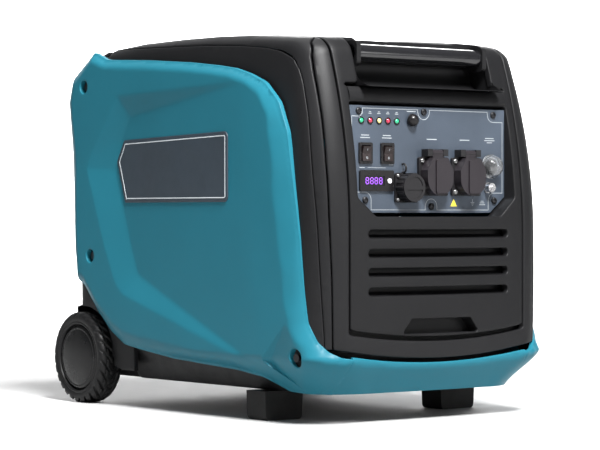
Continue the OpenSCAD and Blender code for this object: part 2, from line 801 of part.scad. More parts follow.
module cooling_fan() {
  color(black) difference() {
    union() {
      tube_x(84.3, 87.3, 86, crank_y, crank_z);
      tube_x(84.3, 102, 22, crank_y, crank_z);
      for (a = [0 : 30 : 330]) translate([84.3, crank_y, crank_z]) rotate([a, 0, 0])
        translate([0, -1.5, 20]) cube([17, 3, 65]);
    }
    tube_x(80, 110, 12.02, crank_y, crank_z);
  }
}
// fan housing with the pull starter on its end
module recoil_housing() {
  color(dark) difference() {
    union() {
      tube_x(18, 140, 94, crank_y, crank_z);
      box(120, 187, pull_y - 37, pull_y + 37, pull_z - 15, pull_z + 15);
    }
    tube_x(10, 136, 91, crank_y, crank_z);
    box(170, 190, pull_y - 34, pull_y + 34, pull_z - 12, pull_z + 12);
    tube_x(130, 190, 5, pull_y, pull_z);
    for (a = [0 : 45 : 315]) translate([130, crank_y, crank_z]) rotate([a + 10, 0, 0])
      translate([0, 0, 45]) rotate([0, 90, 0]) cylinder(h = 20, r = 9);
    box(10, 60, crank_y - 100, crank_y + 100, 60, 90);
  }
}
module recoil_grip() {
  color(rubber_black) {
    along_x(188, 202) polygon(rounded(pull_y - 31, pull_z - 9, pull_y + 31, pull_z + 9, 8));
    tube_x(171, 188.5, 4.9, pull_y, pull_z);
  }
}
module carburettor() {
  color(alloy) {
    tube_y(-90, -34.5, 17, -31, 276);
    box(-52, -10, -78, -48, 240, 262);
  }
}
module air_cleaner() {
  color(black) difference() {
    along_z(238, 350) polygon(rounded(-130, -186, 40, -90.5, 14));
    along_z(234, 346) polygon(rounded(-126, -182, 36, -94.5, 10));
  }
}
module muffler() {
  color([0.45, 0.42, 0.4]) {
    difference() {
      along_x(-118, 88) polygon(rounded(172, 196, 248, 300, 30));
      along_x(-115, 85) polygon(rounded(175, 199, 245, 297, 27));
    }
    tube_y(74.5, 174, 12, -31, 276);
    tube_y(246, 256, 14, -70, 240);
  }
}
module starter_motor() {
  color(dark) {
    tube_x(-70, 8, 21, 112, 122);
    tube_x(8, 13, 8, 112, 122);
  }
}

base_pan();
front_feet();
engine_mounts();
axle();
tyre_left();
hub_left();
hubcap_left();
tyre_right();
hub_right();
hubcap_right();
shroud_left();
shroud_right();
top_cover();
front_frame();
front_panel();
rear_panel();
side_cover_left();
side_cover_right();
front_bumper();
cover_screws();
label_plate_left();
label_plate_right();
handle_grip();
handle_arms();
fuel_cap();
fuel_tank();
control_plate();
panel_screws();
led_lamps();
reset_button();
rocker_bezels();
rocker_run();
rocker_eco();
display_module();
display_button();
dc_socket();
dc_socket_cap();
mains_sockets();
lid_one();
lid_two();
breaker_body();
breaker_button();
breaker_dome();
ground_terminal();
inverter_unit();
battery();
crankcase();
barrel();
valve_cover();
crankshaft();
rotor();
stator();
cooling_fan();
recoil_housing();
recoil_grip();
carburettor();
air_cleaner();
muffler();
starter_motor();
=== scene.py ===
import math

import bmesh
import bpy
import numpy as np
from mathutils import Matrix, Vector
from mathutils.geometry import delaunay_2d_cdt


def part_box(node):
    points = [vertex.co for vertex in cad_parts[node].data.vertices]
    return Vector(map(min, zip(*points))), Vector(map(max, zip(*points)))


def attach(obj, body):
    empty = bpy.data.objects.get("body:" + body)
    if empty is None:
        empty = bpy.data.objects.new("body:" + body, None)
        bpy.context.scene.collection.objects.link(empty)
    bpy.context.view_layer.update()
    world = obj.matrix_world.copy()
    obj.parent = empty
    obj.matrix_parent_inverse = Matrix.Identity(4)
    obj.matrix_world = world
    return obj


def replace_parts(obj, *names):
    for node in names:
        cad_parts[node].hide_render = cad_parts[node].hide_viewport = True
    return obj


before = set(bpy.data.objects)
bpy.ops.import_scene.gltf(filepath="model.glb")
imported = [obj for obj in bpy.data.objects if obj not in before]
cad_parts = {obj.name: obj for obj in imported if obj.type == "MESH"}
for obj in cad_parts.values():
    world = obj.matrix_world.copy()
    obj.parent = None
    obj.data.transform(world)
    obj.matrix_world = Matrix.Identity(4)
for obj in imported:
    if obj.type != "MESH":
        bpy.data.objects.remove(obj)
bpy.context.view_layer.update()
MM = 0.001  # shapes are drawn in mm and made in metres
SIDES = ((-1, "left"), (1, "right"))
DUST = (0.3, 0.29, 0.27, 1)


def box_mm(node):
    """Lowest and highest corner of a CAD node, in mm."""
    lo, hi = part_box(node)
    return np.array(lo) / MM, np.array(hi) / MM


# -------------------- materials


def tree_of(name):
    m = bpy.data.materials.new(name)
    m.use_nodes = True
    t = m.node_tree
    return m, t, t.nodes["Principled BSDF"]


def ramp(t, fac, low, high):
    """A colour ramp between two (position, colour) stops."""
    r = t.nodes.new("ShaderNodeValToRGB")
    for e, (pos, col) in zip(r.color_ramp.elements, (low, high)):
        e.position = pos
        e.color = (*col, 1)
    t.links.new(fac, r.inputs["Fac"])
    return r.outputs["Color"]


def noise(t, scale, detail=4, rough=0.5, stretch=None):
    co = t.nodes.new("ShaderNodeTexCoord").outputs["Object"]
    if stretch:
        mp = t.nodes.new("ShaderNodeMapping")
        mp.inputs["Scale"].default_value = stretch
        t.links.new(co, mp.inputs["Vector"])
        co = mp.outputs["Vector"]
    n = t.nodes.new("ShaderNodeTexNoise")
    n.inputs["Scale"].default_value = scale
    n.inputs["Detail"].default_value = detail
    n.inputs["Roughness"].default_value = rough
    t.links.new(co, n.inputs["Vector"])
    return n.outputs["Fac"]


def grey(v):
    return (v, v, v)


def surface(name, base, rough=0.45, metal=0.0, grain=900, bump=0.12, vary=0.12, coat=0.0, spec=0.5,
            stretch=None, cloud=9, rough_vary=0.08, dust=0.0):
    """A moulded, painted or machined surface: fine grain, slow colour and gloss variation, a little dust."""
    m, t, b = tree_of(name)
    dark = tuple(c * (1 - vary) for c in base)
    light = tuple(min(1, c * (1 + vary)) for c in base)
    col = ramp(t, noise(t, cloud, 5, 0.55), (0.3, dark), (0.7, light))
    if dust > 0:
        mix = t.nodes.new("ShaderNodeMixRGB")
        mix.inputs["Color2"].default_value = DUST
        t.links.new(ramp(t, noise(t, 60, 6, 0.7), (0.5, grey(0)), (0.8, grey(dust))), mix.inputs["Fac"])
        t.links.new(col, mix.inputs["Color1"])
        col = mix.outputs["Color"]
    t.links.new(col, b.inputs["Base Color"])
    gloss = ramp(t, noise(t, 35, 5, 0.6, stretch), (0.3, grey(max(0.02, rough - rough_vary))),
                 (0.7, grey(min(1, rough + rough_vary))))
    t.links.new(gloss, b.inputs["Roughness"])
    b.inputs["Metallic"].default_value = metal
    b.inputs["Coat Weight"].default_value = coat
    b.inputs["Coat Roughness"].default_value = 0.12
    b.inputs["Specular IOR Level"].default_value = spec
    bp = t.nodes.new("ShaderNodeBump")
    bp.inputs["Strength"].default_value = bump
    bp.inputs["Distance"].default_value = 0.0004
    t.links.new(noise(t, grain, 3, 0.6, stretch), bp.inputs["Height"])
    t.links.new(bp.outputs["Normal"], b.inputs["Normal"])
    return m


def glass_like(name, col, rough, through=0.0, glow=0.0, light=(0, 0, 0)):
    """A clear or coloured lens: through is how much light it lets pass, glow how much it gives off."""
    m, t, b = tree_of(name)
    n = noise(t, 45, 4, 0.5)
    t.links.new(ramp(t, n, (0.3, tuple(c * 0.85 for c in col)), (0.7, col)), b.inputs["Base Color"])
    t.links.new(ramp(t, n, (0.2, grey(rough)), (0.8, grey(rough + 0.06))), b.inputs["Roughness"])
    if through:
        b.inputs["Transmission Weight"].default_value = through
        b.inputs["IOR"].default_value = 1.42
    if glow:
        b.inputs["Emission Color"].default_value = (*light, 1)
        b.inputs["Emission Strength"].default_value = glow
    b.inputs["Coat Weight"].default_value = 0.5
    return m


MOULDED = dict(grain=1100, bump=0.2, dust=0.004, spec=0.19, rough_vary=0.015, vary=0.06)
SURFACES = {  # slot in the record, name, base colour, roughness, what differs from the plain surface
    "case": ("case_black", "case_plastic", (0.0075, 0.0075, 0.0082), 0.47, MOULDED),
    "panel": ("panel_black", "panel_plastic", (0.0062, 0.0062, 0.0068), 0.47, MOULDED),
    "teal": ("cover_teal", "teal_plastic", (0.0125, 0.122, 0.168), 0.40,
             dict(grain=700, bump=0.04, vary=0.03, spec=0.14, rough_vary=0.03)),
    "pan": ("pan_black", "pan_paint", (0.0055, 0.0055, 0.006), 0.5, dict(grain=500, bump=0.3, spec=0.22)),
    "label": ("label_slate", "label_film", (0.017, 0.028, 0.040), 0.5, dict(grain=300, bump=0.03)),
    "rule": ("label_slate", "label_rule", (0.50, 0.54, 0.56), 0.35, dict(grain=300, bump=0.03)),
    "plate": ("plate_blue_grey", "plate_paint", (0.052, 0.067, 0.090), 0.38,
              dict(metal=0.3, grain=260, bump=0.25, vary=0.2, stretch=(1.5, 1, 60), cloud=7)),
    "ink": ("plate_blue_grey", "white_ink", (0.30, 0.325, 0.345), 0.5, dict(grain=400, bump=0.03)),
    "sign": ("plate_blue_grey", "sign_yellow", (0.62, 0.50, 0.04), 0.45, dict(grain=300, bump=0.03)),
    "rubber": ("foot_rubber", "rubber", (0.006, 0.006, 0.006), 0.65, dict(grain=700, bump=0.3, spec=0.25)),
    "tyre": ("tyre_rubber", "tyre_rubber", (0.0035, 0.0035, 0.0038), 0.5,
             dict(grain=600, bump=0.25, dust=0.012, spec=0.28)),
    "hub": ("hub_plastic", "hub_plastic", (0.006, 0.006, 0.0065), 0.36, dict(bump=0.2, spec=0.3)),
    "cap": ("hub_plastic", "cap_plastic", (0.0035, 0.0035, 0.0038), 0.3,
            dict(bump=0.05, spec=0.3, dust=0.006)),
    "steel": ("steel", "bright_steel", (0.55, 0.55, 0.56), 0.28,
              dict(metal=1.0, grain=400, bump=0.1, stretch=(1, 30, 30))),
    "tube": ("tube_gloss", "gloss_black", (0.006, 0.006, 0.007), 0.16,
             dict(grain=200, bump=0.02, coat=0.7, rough_vary=0.03)),
    "arm": ("arm_black", "arm_paint", (0.006, 0.006, 0.0065), 0.4, dict(grain=800, bump=0.2, spec=0.26)),
    "tank": ("tank_black", "tank_plastic", (0.016, 0.016, 0.017), 0.55, dict(grain=400, bump=0.25)),
    "bolt": ("screw_black", "zinc_screw", (0.34, 0.34, 0.34), 0.3, dict(metal=0.9, grain=500, bump=0.1)),
    # The screws' black is partly their own and partly painted shade: it is taken darker so that the cover screws,
    # deep in their holes, look as dark as the shade there. The plate screws share this colour.
    "screw": ("screw_black", "dark_screw", (0.018, 0.018, 0.020), 0.4, dict(metal=0.6, grain=500, bump=0.1)),
    "switch": ("switch_black", "switch_plastic", (0.007, 0.0065, 0.007), 0.3,
               dict(grain=500, bump=0.05, coat=0.05, spec=0.25)),
    "rocker": ("switch_black", "rocker_plastic", (0.014, 0.009, 0.009), 0.26,
               dict(grain=500, bump=0.04, coat=0.08, spec=0.25)),
    "socket": ("socket_black", "socket_plastic", (0.009, 0.0085, 0.0095), 0.4, dict(bump=0.15, spec=0.3)),
    "lid": ("lid_plum", "lid_plastic", (0.0155, 0.0130, 0.0155), 0.38, dict(bump=0.15, spec=0.3)),
    "white": ("button_white", "white_plastic", (0.62, 0.62, 0.64), 0.35, dict(grain=400, bump=0.05)),
    "alloy": ("alloy", "cast_alloy", (0.45, 0.45, 0.46), 0.45, dict(metal=0.9, grain=500, bump=0.4)),
    "iron": ("iron", "machined_iron", (0.22, 0.22, 0.23), 0.4, dict(metal=1.0, grain=300, bump=0.2)),
    "copper": ("copper_winding", "windings", (0.45, 0.16, 0.06), 0.35,
               dict(metal=0.8, bump=0.6, stretch=(60, 1, 1))),
    "exhaust": ("exhaust_steel", "heat_stained", (0.22, 0.18, 0.14), 0.5,
                dict(metal=0.9, grain=300, bump=0.2, vary=0.35)),
}
LENSES = {
    "dome": ("clear_dome", "clear_dome", (0.82, 0.84, 0.86), 0.06, dict(through=0.95)),
    "lens_green": ("lamp", "lens_green", (0.02, 0.32, 0.16), 0.15, dict(glow=0.15, light=(0.02, 0.4, 0.2))),
    "lens_red": ("lamp", "lens_red", (0.35, 0.02, 0.05), 0.15, dict(glow=0.1, light=(0.4, 0.02, 0.05))),
    "lens_yellow": ("lamp", "lens_yellow", (0.75, 0.62, 0.22), 0.15, dict(glow=0.15, light=(0.7, 0.6, 0.2))),
    "violet": ("display_black", "figure_light", (0.35, 0.10, 0.75), 0.3,
               dict(glow=1.6, light=(0.35, 0.08, 0.9))),
    "smoke": ("display_black", "smoked_window", (0.010, 0.008, 0.016), 0.08, {}),
}
M = {key: surface(*row[1:4], **row[4]) for key, row in SURFACES.items()}
M.update({key: glass_like(*row[1:4], **row[4]) for key, row in LENSES.items()})

# -------------------- outlines


def rounded_loop(pts, radii, step=1.5):
    """A closed outline with each corner rounded by its own radius."""
    pts = [np.array(p, float) for p in pts]
    if np.isscalar(radii):
        radii = [radii] * len(pts)
    out = []
    n = len(pts)
    for i in range(n):
        p, a, b = pts[i], pts[i - 1], pts[(i + 1) % n]
        r = radii[i]
        u, v = a - p, b - p
        lu, lv = np.linalg.norm(u), np.linalg.norm(v)
        u, v = u / lu, v / lv
        ang = math.acos(np.clip(u @ v, -1, 1))
        if r <= 0 or ang > math.pi - 0.03:
            out.append(p)
            continue
        t = min(r / math.tan(ang / 2), lu * 0.48, lv * 0.48)
        r = t * math.tan(ang / 2)
        c = p + (u + v) / np.linalg.norm(u + v) * (r / math.sin(ang / 2))
        a0 = math.atan2(*(p + u * t - c)[::-1])
        a1 = math.atan2(*(p + v * t - c)[::-1])
        d = (a1 - a0 + math.pi) % (2 * math.pi) - math.pi
        k = max(2, int(abs(d) * r / step) + 1, int(abs(d) / 0.35))
        for j in range(k + 1):
            w = a0 + d * j / k
            out.append(c + r * np.array([math.cos(w), math.sin(w)]))
    return np.array(out)


def resample(loop, step):
    """Points every step or less along a closed loop, keeping its own corners."""
    out = []
    for a, b in zip(loop, np.roll(loop, -1, 0)):
        k = max(1, int(math.ceil(np.linalg.norm(b - a) / step)))
        out += [a + (b - a) * j / k for j in range(k)]
    return np.array(out)


def circle(cx, cy, r, n=28):
    t = np.linspace(0, 2 * math.pi, n + 1)[:-1]
    return np.stack([cx + r * np.cos(t), cy + r * np.sin(t)], 1)


def arc(cx, cy, r, a0, a1, n=10):
    """Points on an arc, its angles in degrees."""
    return [(cx + r * math.cos(a), cy + r * math.sin(a)) for a in np.radians(np.linspace(a0, a1, n))]


def mirrored(pts):
    return [(-x, v) for x, v in pts[::-1]]


def area(loop):
    """Area inside a loop, positive when it runs counter-clockwise."""
    x, y = loop[:, 0], loop[:, 1]
    return 0.5 * float(np.sum(x * np.roll(y, -1) - np.roll(x, -1) * y))


def counter_clockwise(loop):
    return loop if area(loop) > 0 else loop[::-1]


def loop_normals(loop):
    """Normals pointing out of a counter-clockwise loop, longer at its corners so that an offset stays even."""
    d = np.roll(loop, -1, 0) - loop
    d /= np.linalg.norm(d, axis=1)[:, None] + 1e-12
    m = d + np.roll(d, 1, 0)
    m /= np.linalg.norm(m, axis=1)[:, None] + 1e-12
    nrm = np.stack([m[:, 1], -m[:, 0]], 1)
    cosine = np.clip((nrm * np.stack([d[:, 1], -d[:, 0]], 1)).sum(1), 0.5, 1)
    return nrm / cosine[:, None]


def inside(points, loop):
    x, y = points[:, 0][:, None], points[:, 1][:, None]
    x0, y0 = loop[:, 0][None], loop[:, 1][None]
    x1, y1 = np.roll(loop[:, 0], -1)[None], np.roll(loop[:, 1], -1)[None]
    hit = ((y0 > y) != (y1 > y)) & (x < (x1 - x0) * (y - y0) / (y1 - y0 + 1e-15) + x0)
    return hit.sum(1) % 2 == 1


def nearest_on_loop(points, loop):
    """For each point: its distance to the loop, the side it is nearest to, and how far along that side."""
    a, ab = loop[None], (np.roll(loop, -1, 0) - loop)[None]
    best, side, along = np.empty(len(points)), np.empty(len(points), int), np.empty(len(points))
    for s in range(0, len(points), 1500):
        p = points[s:s + 1500][:, None]
        t = np.clip(((p - a) * ab).sum(2) / ((ab ** 2).sum(2) + 1e-12), 0, 1)
        dist = np.sqrt(((p - a - t[..., None] * ab) ** 2).sum(2))
        k = dist.argmin(1)
        rows = np.arange(len(k))
        best[s:s + 1500], side[s:s + 1500], along[s:s + 1500] = dist[rows, k], k, t[rows, k]
    return best, side, along


# -------------------- meshes


def mesh_from(name, verts, faces, mat, body="case", smooth=40):
    """A piece from points in mm, riding on a body, shaded smooth up to an angle."""
    me = bpy.data.meshes.new(name)
    me.from_pydata((np.array(verts, float) * MM).tolist(), [], faces)
    me.update()
    return finish_object(name, me, mat, body, smooth)


def finish_object(name, me, mat, body, smooth):
    ob = bpy.data.objects.new(name, me)
    bpy.context.scene.collection.objects.link(ob)
    me.materials.append(M[mat])
    for p in me.polygons:
        p.use_smooth = True
    me.set_sharp_from_angle(angle=math.radians(smooth))
    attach(ob, body)
    return ob


def band_faces(rows, n, closed=True, start=0):
    """Faces between rows of n points, each row joined to the next."""
    faces = []
    for j in range(rows - 1):
        for i in range(n if closed else n - 1):
            a, b = start + j * n, (i + 1) % n
            faces.append([a + i, a + b, a + n + b, a + n + i])
    return faces


def strip(name, curves, mat, node, smooth=50):
    """A surface drawn through a row of curves, each with as many points."""
    verts = [p for c in curves for p in c]
    ob = mesh_from(name, verts, band_faces(len(curves), len(curves[0]), False), mat, smooth=smooth)
    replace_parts(ob, node)


def turned(name, prof, at, axis, mat, node, body="case", n=48, smooth=50):
    """A turned piece: prof is (radius, distance along the axis from at); axis is 0, 1 or 2 for x, y or z."""
    verts = []
    for r, h in prof:
        for i in range(n):
            a = 2 * math.pi * i / n
            p = [r * math.cos(a), r * math.sin(a)]
            p.insert(axis, h)
            verts.append([u + v for u, v in zip(at, p)])
    ob = mesh_from(name, verts, band_faces(len(prof), n), mat, body, smooth)
    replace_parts(ob, node)


def bar(x, z, w, h):
    return [(x - w / 2, z - h / 2), (x + w / 2, z - h / 2), (x + w / 2, z + h / 2), (x - w / 2, z + h / 2)]


def shapes(name, loops, y0, y1, mat, edge=0.0):
    """Flat shapes standing on the control plate from y0 out to y1, their front edges drawn in by edge."""
    verts, faces = [], []
    for lp in loops:
        lp = counter_clockwise(np.array(lp, float))
        n, s = len(lp), len(verts)
        for ring, y in ((lp, y0), (lp, y1 + edge), (lp - loop_normals(lp) * edge, y1)):
            verts += [(x, y, z) for x, z in ring]
        faces += band_faces(3, n, True, s)
        faces.append([s + 2 * n + i for i in range(n)])
    mesh_from(name, verts, faces, mat, smooth=30)


def skin_points(rims, spacing):
    """A staggered grid of points inside the first rim and outside the others, clear of them all."""
    ring = np.vstack(rims)
    lo, hi = ring.min(0), ring.max(0)
    gx = np.arange(lo[0] + spacing / 2, hi[0], spacing)
    gy = np.arange(lo[1] + spacing / 2, hi[1], spacing)
    grid = np.stack(np.meshgrid(gx, gy), -1).reshape(-1, 2)
    grid[:, 0] += 0.25 * spacing * ((np.round((grid[:, 1] - lo[1]) / spacing).astype(int) % 2) * 2 - 1)
    grid = grid[within(grid, rims)]
    for rim in rims:
        grid = grid[nearest_on_loop(grid, rim)[0] > spacing * 0.45]
    return grid


def within(points, rims):
    keep = inside(points, rims[0])
    for rim in rims[1:]:
        keep &= ~inside(points, rim)
    return keep


def skin(name, outer, holes, surf, mat, node, roll=1.2, depth=6.0, hole_depth=None, spacing=5.0,
         step=3.0, smooth=50, hole_roll=None, extra=()):
    """A moulded skin with rolled edges. outer and holes are loops in the skin's own two coordinates; surf maps
    them to points and outward normals. Each edge rolls in by roll and then runs depth into the case."""
    loops = [(resample(counter_clockwise(np.array(outer, float)), step), roll, depth)]
    for h, d in zip(holes, hole_depth or [depth] * len(holes)):
        clockwise = counter_clockwise(np.array(h, float))[::-1]
        loops.append((resample(clockwise, step), roll if hole_roll is None else hole_roll, d))
    rims = [lp - loop_normals(lp) * r for lp, r, _ in loops]
    starts, edges, count = [], [], 0
    for rim in rims:
        starts.append(count)
        edges += [(count + i, count + (i + 1) % len(rim)) for i in range(len(rim))]
        count += len(rim)
    pts = [*np.vstack(rims), *skin_points(rims, spacing), *extra]
    flat, _, tris, origins, _, _ = delaunay_2d_cdt([Vector(p) for p in pts], edges, [], 0, 1e-5)
    flat = np.array([[v.x, v.y] for v in flat])
    tris = np.array([list(f) for f in tris])
    tris = tris[within(flat[tris].mean(1), rims)]
    index = {old: new for new, olds in enumerate(origins) for old in olds}
    P, N = surf(flat)
    verts = list(P)
    faces = [list(t) for t in tris]
    for (lp, r, d), rim, s in zip(loops, rims, starts):
        n = len(lp)
        Q, NQ = surf(rim)
        T = surf(rim + loop_normals(lp) * 0.4)[0] - Q
        T -= (T * NQ).sum(1)[:, None] * NQ
        T /= np.linalg.norm(T, axis=1)[:, None] + 1e-12
        scale = np.clip(np.linalg.norm(surf(lp)[0] - Q, axis=1)[:, None] / max(r, 1e-6), 0.7, 1.4)
        rows = [[index[s + i] for i in range(n)]]
        foot = Q + T * r * scale - NQ * (r + d)
        turns = [Q + T * (r * math.sin(w)) * scale - NQ * (r * (1 - math.cos(w)))
                 for w in np.radians((30, 60, 90))]
        for row in turns + [foot]:
            rows.append(list(range(len(verts), len(verts) + n)))
            verts += list(row)
        for a, b in zip(rows, rows[1:]):
            faces += [[a[i], b[i], b[(i + 1) % n], a[(i + 1) % n]] for i in range(n)]
    me = bpy.data.meshes.new(name)
    me.from_pydata((np.array(verts) * MM).tolist(), [], faces)
    bm = bmesh.new()
    bm.from_mesh(me)
    bmesh.ops.recalc_face_normals(bm, faces=bm.faces)
    bm.faces.ensure_lookup_table()
    first = bm.faces[0]
    near = int(np.argmin(((P - np.array(first.calc_center_median()) / MM) ** 2).sum(1)))
    if first.normal.dot(Vector(N[near])) < 0:
        bmesh.ops.reverse_faces(bm, faces=bm.faces)
    bm.to_mesh(me)
    bm.free()
    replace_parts(finish_object(name, me, mat, "case", smooth), node)


# -------------------- the case's own surface


def both(a, b, r):
    """Rounded intersection of two distance fields."""
    u, v = np.maximum(a + r, 0), np.maximum(b + r, 0)
    return np.minimum(-r, np.maximum(a, b)) + np.sqrt(u * u + v * v)


def lean(z):
    """How far the front leans back, growing above 240 mm."""
    return 0.000713 * np.maximum(z - 240, 0) ** 2


def half_width(z):
    return 192 - 1.543e-4 * (z - 210) ** 2


def crown(y):
    """Height of the top along its middle."""
    return np.interp(y, [-330, -254, -225, -180, -120, -50, 30, 126, 190, 214, 300],
                     [484, 491.5, 494.5, 498.5, 503, 505.8, 506.6, 505.6, 501.5, 497, 470])


def case_field(p):
    """Below zero inside the black case, above zero outside it."""
    x, y, z = np.abs(p[..., 0]), p[..., 1], p[..., 2]
    front = -y - (302 + 6 * np.clip(1 - (x / 150) ** 2, 0, 1) - lean(z))
    side = x - half_width(z)
    rear = y - 262
    wall = both(both(front, side, 42), np.maximum(rear, -60), 3)
    wall = both(wall, both(side, rear, 24), 2)
    top = z - crown(y) + 3.5 * np.clip((x - 90) / 70, 0, 1) ** 2
    slope = (1.042 * (y - 262) + (z - 444)) / 1.444
    dip = z - np.interp(y, [-330, 20], [478, 507.4])
    w = np.clip((88 - x) / 14, 0, 1)
    w = w * w * (3 - 2 * w)
    top = np.where(dip > top, top + (dip - top) * w, top)
    return both(both(wall, top, 17), slope, 14)


def cast(o, d, field):
    """Where rays from o along d leave a field, at most 400 mm away."""
    lo, hi = np.zeros(len(o)), np.full(len(o), 400.0)
    for _ in range(34):
        m = (lo + hi) / 2
        out = field(o + d * m[:, None]) > 0
        hi = np.where(out, m, hi)
        lo = np.where(out, lo, m)
    return o + d * ((lo + hi) / 2)[:, None]


def normals(p, field):
    e = 0.2
    g = np.stack([field(p + np.eye(3)[k] * e) - field(p - np.eye(3)[k] * e) for k in range(3)], 1)
    return g / (np.linalg.norm(g, axis=1)[:, None] + 1e-12)


def on_side(sign):
    """The side of the case, in coordinates (y, z)."""
    def surf(q):
        o = np.stack([np.full(len(q), sign * 60.0), q[:, 0], q[:, 1]], 1)
        p = cast(o, np.tile([sign, 0.0, 0.0], (len(q), 1)), case_field)
        return p, normals(p, case_field)
    return surf


# Front coordinates (x, v): v is the height up to TURN_Z, then TURN mm of it go round the top edge, and from
# there it runs rearwards over the top from y = TURN_Y.
TURN_Y, TURN_Z, TURN = -234.0, 450, 60


def on_shell(q):
    """The front and the top of the case, in front coordinates."""
    x, v = q[:, 0], q[:, 1]
    a = np.clip((v - TURN_Z) / TURN, 0, 1) * math.pi / 2
    o = np.stack([x, TURN_Y + np.maximum(v - TURN_Z - TURN, 0), np.minimum(v, TURN_Z)], 1)
    p = cast(o, np.stack([np.zeros_like(x), -np.cos(a), np.sin(a)], 1), case_field)
    return p, normals(p, case_field)


def to_front(p):
    """Front coordinates of points on the case."""
    x, y, z = p[:, 0], p[:, 1], p[:, 2]
    part = np.degrees(np.arctan2(z - TURN_Z, TURN_Y - y)) / 90
    over = np.where(y > TURN_Y, TURN_Z + TURN + y - TURN_Y, TURN_Z + TURN * part)
    return np.stack([x, np.where(z <= TURN_Z, z, over)], 1)


def arc_up(x, low):
    """The slow curve of the front's lower lines, 1000 mm in radius, lowest at low."""
    return low + 1000 - np.sqrt(1000.0 ** 2 - np.asarray(x, float) ** 2)


# -------------------- black mouldings of the case

SEAM = [(-289, 96), (-289, 118), (-283, 261), (-264, 385), (-250, 432), (-242, 449), (-230, 464), (-202, 475),
        (-173, 480.4), (-114, 486.3), (-35, 491), (142, 495.5), (204, 496)]
GROOVE = [(-171.0, 97), (-172.5, 180), (-175.4, 261), (-175, 330), (-173.4, 385), (-172.5, 440), (-171, 478),
          (-166, 499), (-152, 510.5)]
AXLE_Y, AXLE_Z = 241, 64
SLOT_Z = (241, 216.5, 192.5, 168)  # heights of the four air slots
PANEL_X = 115.2  # half the width of the hand space


def seam_points():
    """The joint between a side band and the top cover, in (y, z)."""
    t = np.linspace(0, len(SEAM) - 1, 90)
    q = np.stack([np.interp(t, np.arange(len(SEAM)), v) for v in np.array(SEAM, float).T], 1)
    for _ in range(3):
        q[1:-1] = (q[:-2] + 2 * q[1:-1] + q[2:]) / 4
    return q


seam = seam_points()
seam_at, seam_normal = on_side(-1)(seam)


def top_cover():
    """The spine over the top with a horn down each front corner, and the seat of the filler cap."""
    slant = seam_normal[:, 0] / np.maximum(np.hypot(seam_normal[:, 1], seam_normal[:, 2]), 0.12)
    reach = np.sqrt(1 + slant ** 2)
    left = [(x + 0.8 / g - 1.6 * (1 - 1 / g), v) for (x, v), g in zip(to_front(seam_at), reach)]
    outline = left + mirrored(left) + [(-x, v) for x, v in GROOVE] + GROOVE[::-1]
    skin("top_moulding", outline, [circle(0, 804, 31, 48)], on_shell, "case", "top_cover", roll=1.6, depth=5,
         hole_depth=[11], spacing=7, step=4, hole_roll=2.5)
    turned("filler_seat", [(31.5, 497.5), (30, 495.6), (27, 495), (26, 492)], (0, 60, 0), 2, "case",
           "top_cover", n=64, smooth=40)


def side_band(sign, name):
    """The black band between the top cover and a side cover."""
    edge = []
    for (y, z), f in zip(seam, np.abs(seam_normal[:, 0])):
        gap = 0.9 * f - 1.0 * (1 - f)
        edge.append((y + gap * (z < 460), z - gap * (y > -240)))
    rear = [(214, 494), (250, 457), (257, 440), (258, 330), (258, 175), (240, 175), (238, 330), (236, 420)]
    under = [(204, 440), (150, 466), (0, 460), (-120, 440), (-170, 425), (-205, 390), (-219, 330), (-232, 237),
             (-243, 165), (-248, 96)]
    skin("side_band_" + name, edge + rear + under, [], on_side(sign), "case", "shroud_" + name, roll=1.2,
         depth=4, spacing=7, step=4)


def wheel_house(sign, name):
    """The black wing over a wheel, and the drum the wheel stands in."""
    wing = arc(AXLE_Y, AXLE_Z, 72, 78, 187, 22) + [(150, 50), (120, 50), (118, 100), (150, 120), (185, 150),
                                                   (225, 186), (258, 188), (258, 139)]
    skin("wheel_wing_" + name, wing, [], on_side(sign), "case", "shroud_" + name, roll=1.2, depth=6, spacing=8,
         step=4)
    drum = ((190.5, 73.2), (188, 74.2), (176, 74.6), (160, 74.2), (158.4, 73.0), (158, 60), (158, 20))
    rows = [[(sign * x, min(y, 258.5), z) for y, z in arc(AXLE_Y, AXLE_Z, r, 20, 178, 40)] for x, r in drum]
    strip("wheel_drum_" + name, rows, "case", "shroud_" + name)


def front_ring():
    """The black ring round the front panel."""
    low = [(x, arc_up(x, 82)) for x in np.linspace(-169, 169, 41)]
    side = [(169.8, 100), (171.2, 180), (174, 261), (173.6, 330), (172, 385), (171, 440), (169.2, 478),
            (164, 497.5), (151, 508.5), (149.2, 508.5)]
    inner = [(149.0, 508.5), (149.0, 440), (149.0, 118), (149.0, 117), (147.6, 115.5), (144.5, 114.2)]
    inner_low = [(x, arc_up(x, 103.5)) for x in np.linspace(141, -141, 31)]
    outline = low + side + inner + inner_low + mirrored(inner) + mirrored(side)
    skin("front_ring", outline, [], on_shell, "case", "front_frame", roll=1.8, depth=7, spacing=6, step=3.5)


def front_panel():
    """The panel with its control recess, air slots and finger recess."""
    top = [(146.6, 122.5), (146.6, 509.5), (115, 509.5), (115, 436), (118, 433), (134, 433), (136.5, 430.5),
           (134, 428)]
    low = [(x, arc_up(x, 109.6)) for x in np.linspace(-139, 139, 31)]
    outline = low + [(144.2, 121.0)] + top + mirrored(top) + [(-144.2, 121.0)]
    recess = rounded_loop([(-134, 409), (-134, 287), (-106, 263), (106, 263), (134, 287), (134, 409)],
                          [4, 7, 7, 7, 7, 4])
    slots = [rounded_loop(bar(0, z, 238, 10.8), 5.3, 1.2) for z in SLOT_Z]
    finger = rounded_loop([(-66, 113.2), (66, 113.2), (50, 132.5), (-50, 132.5)], [3, 3, 4, 4])
    skin("panel_moulding", outline, [recess, *slots, finger], on_shell, "panel", "front_panel", roll=1.6,
         depth=6, hole_depth=[24.5, 9, 9, 9, 9, 17], spacing=6, step=3)


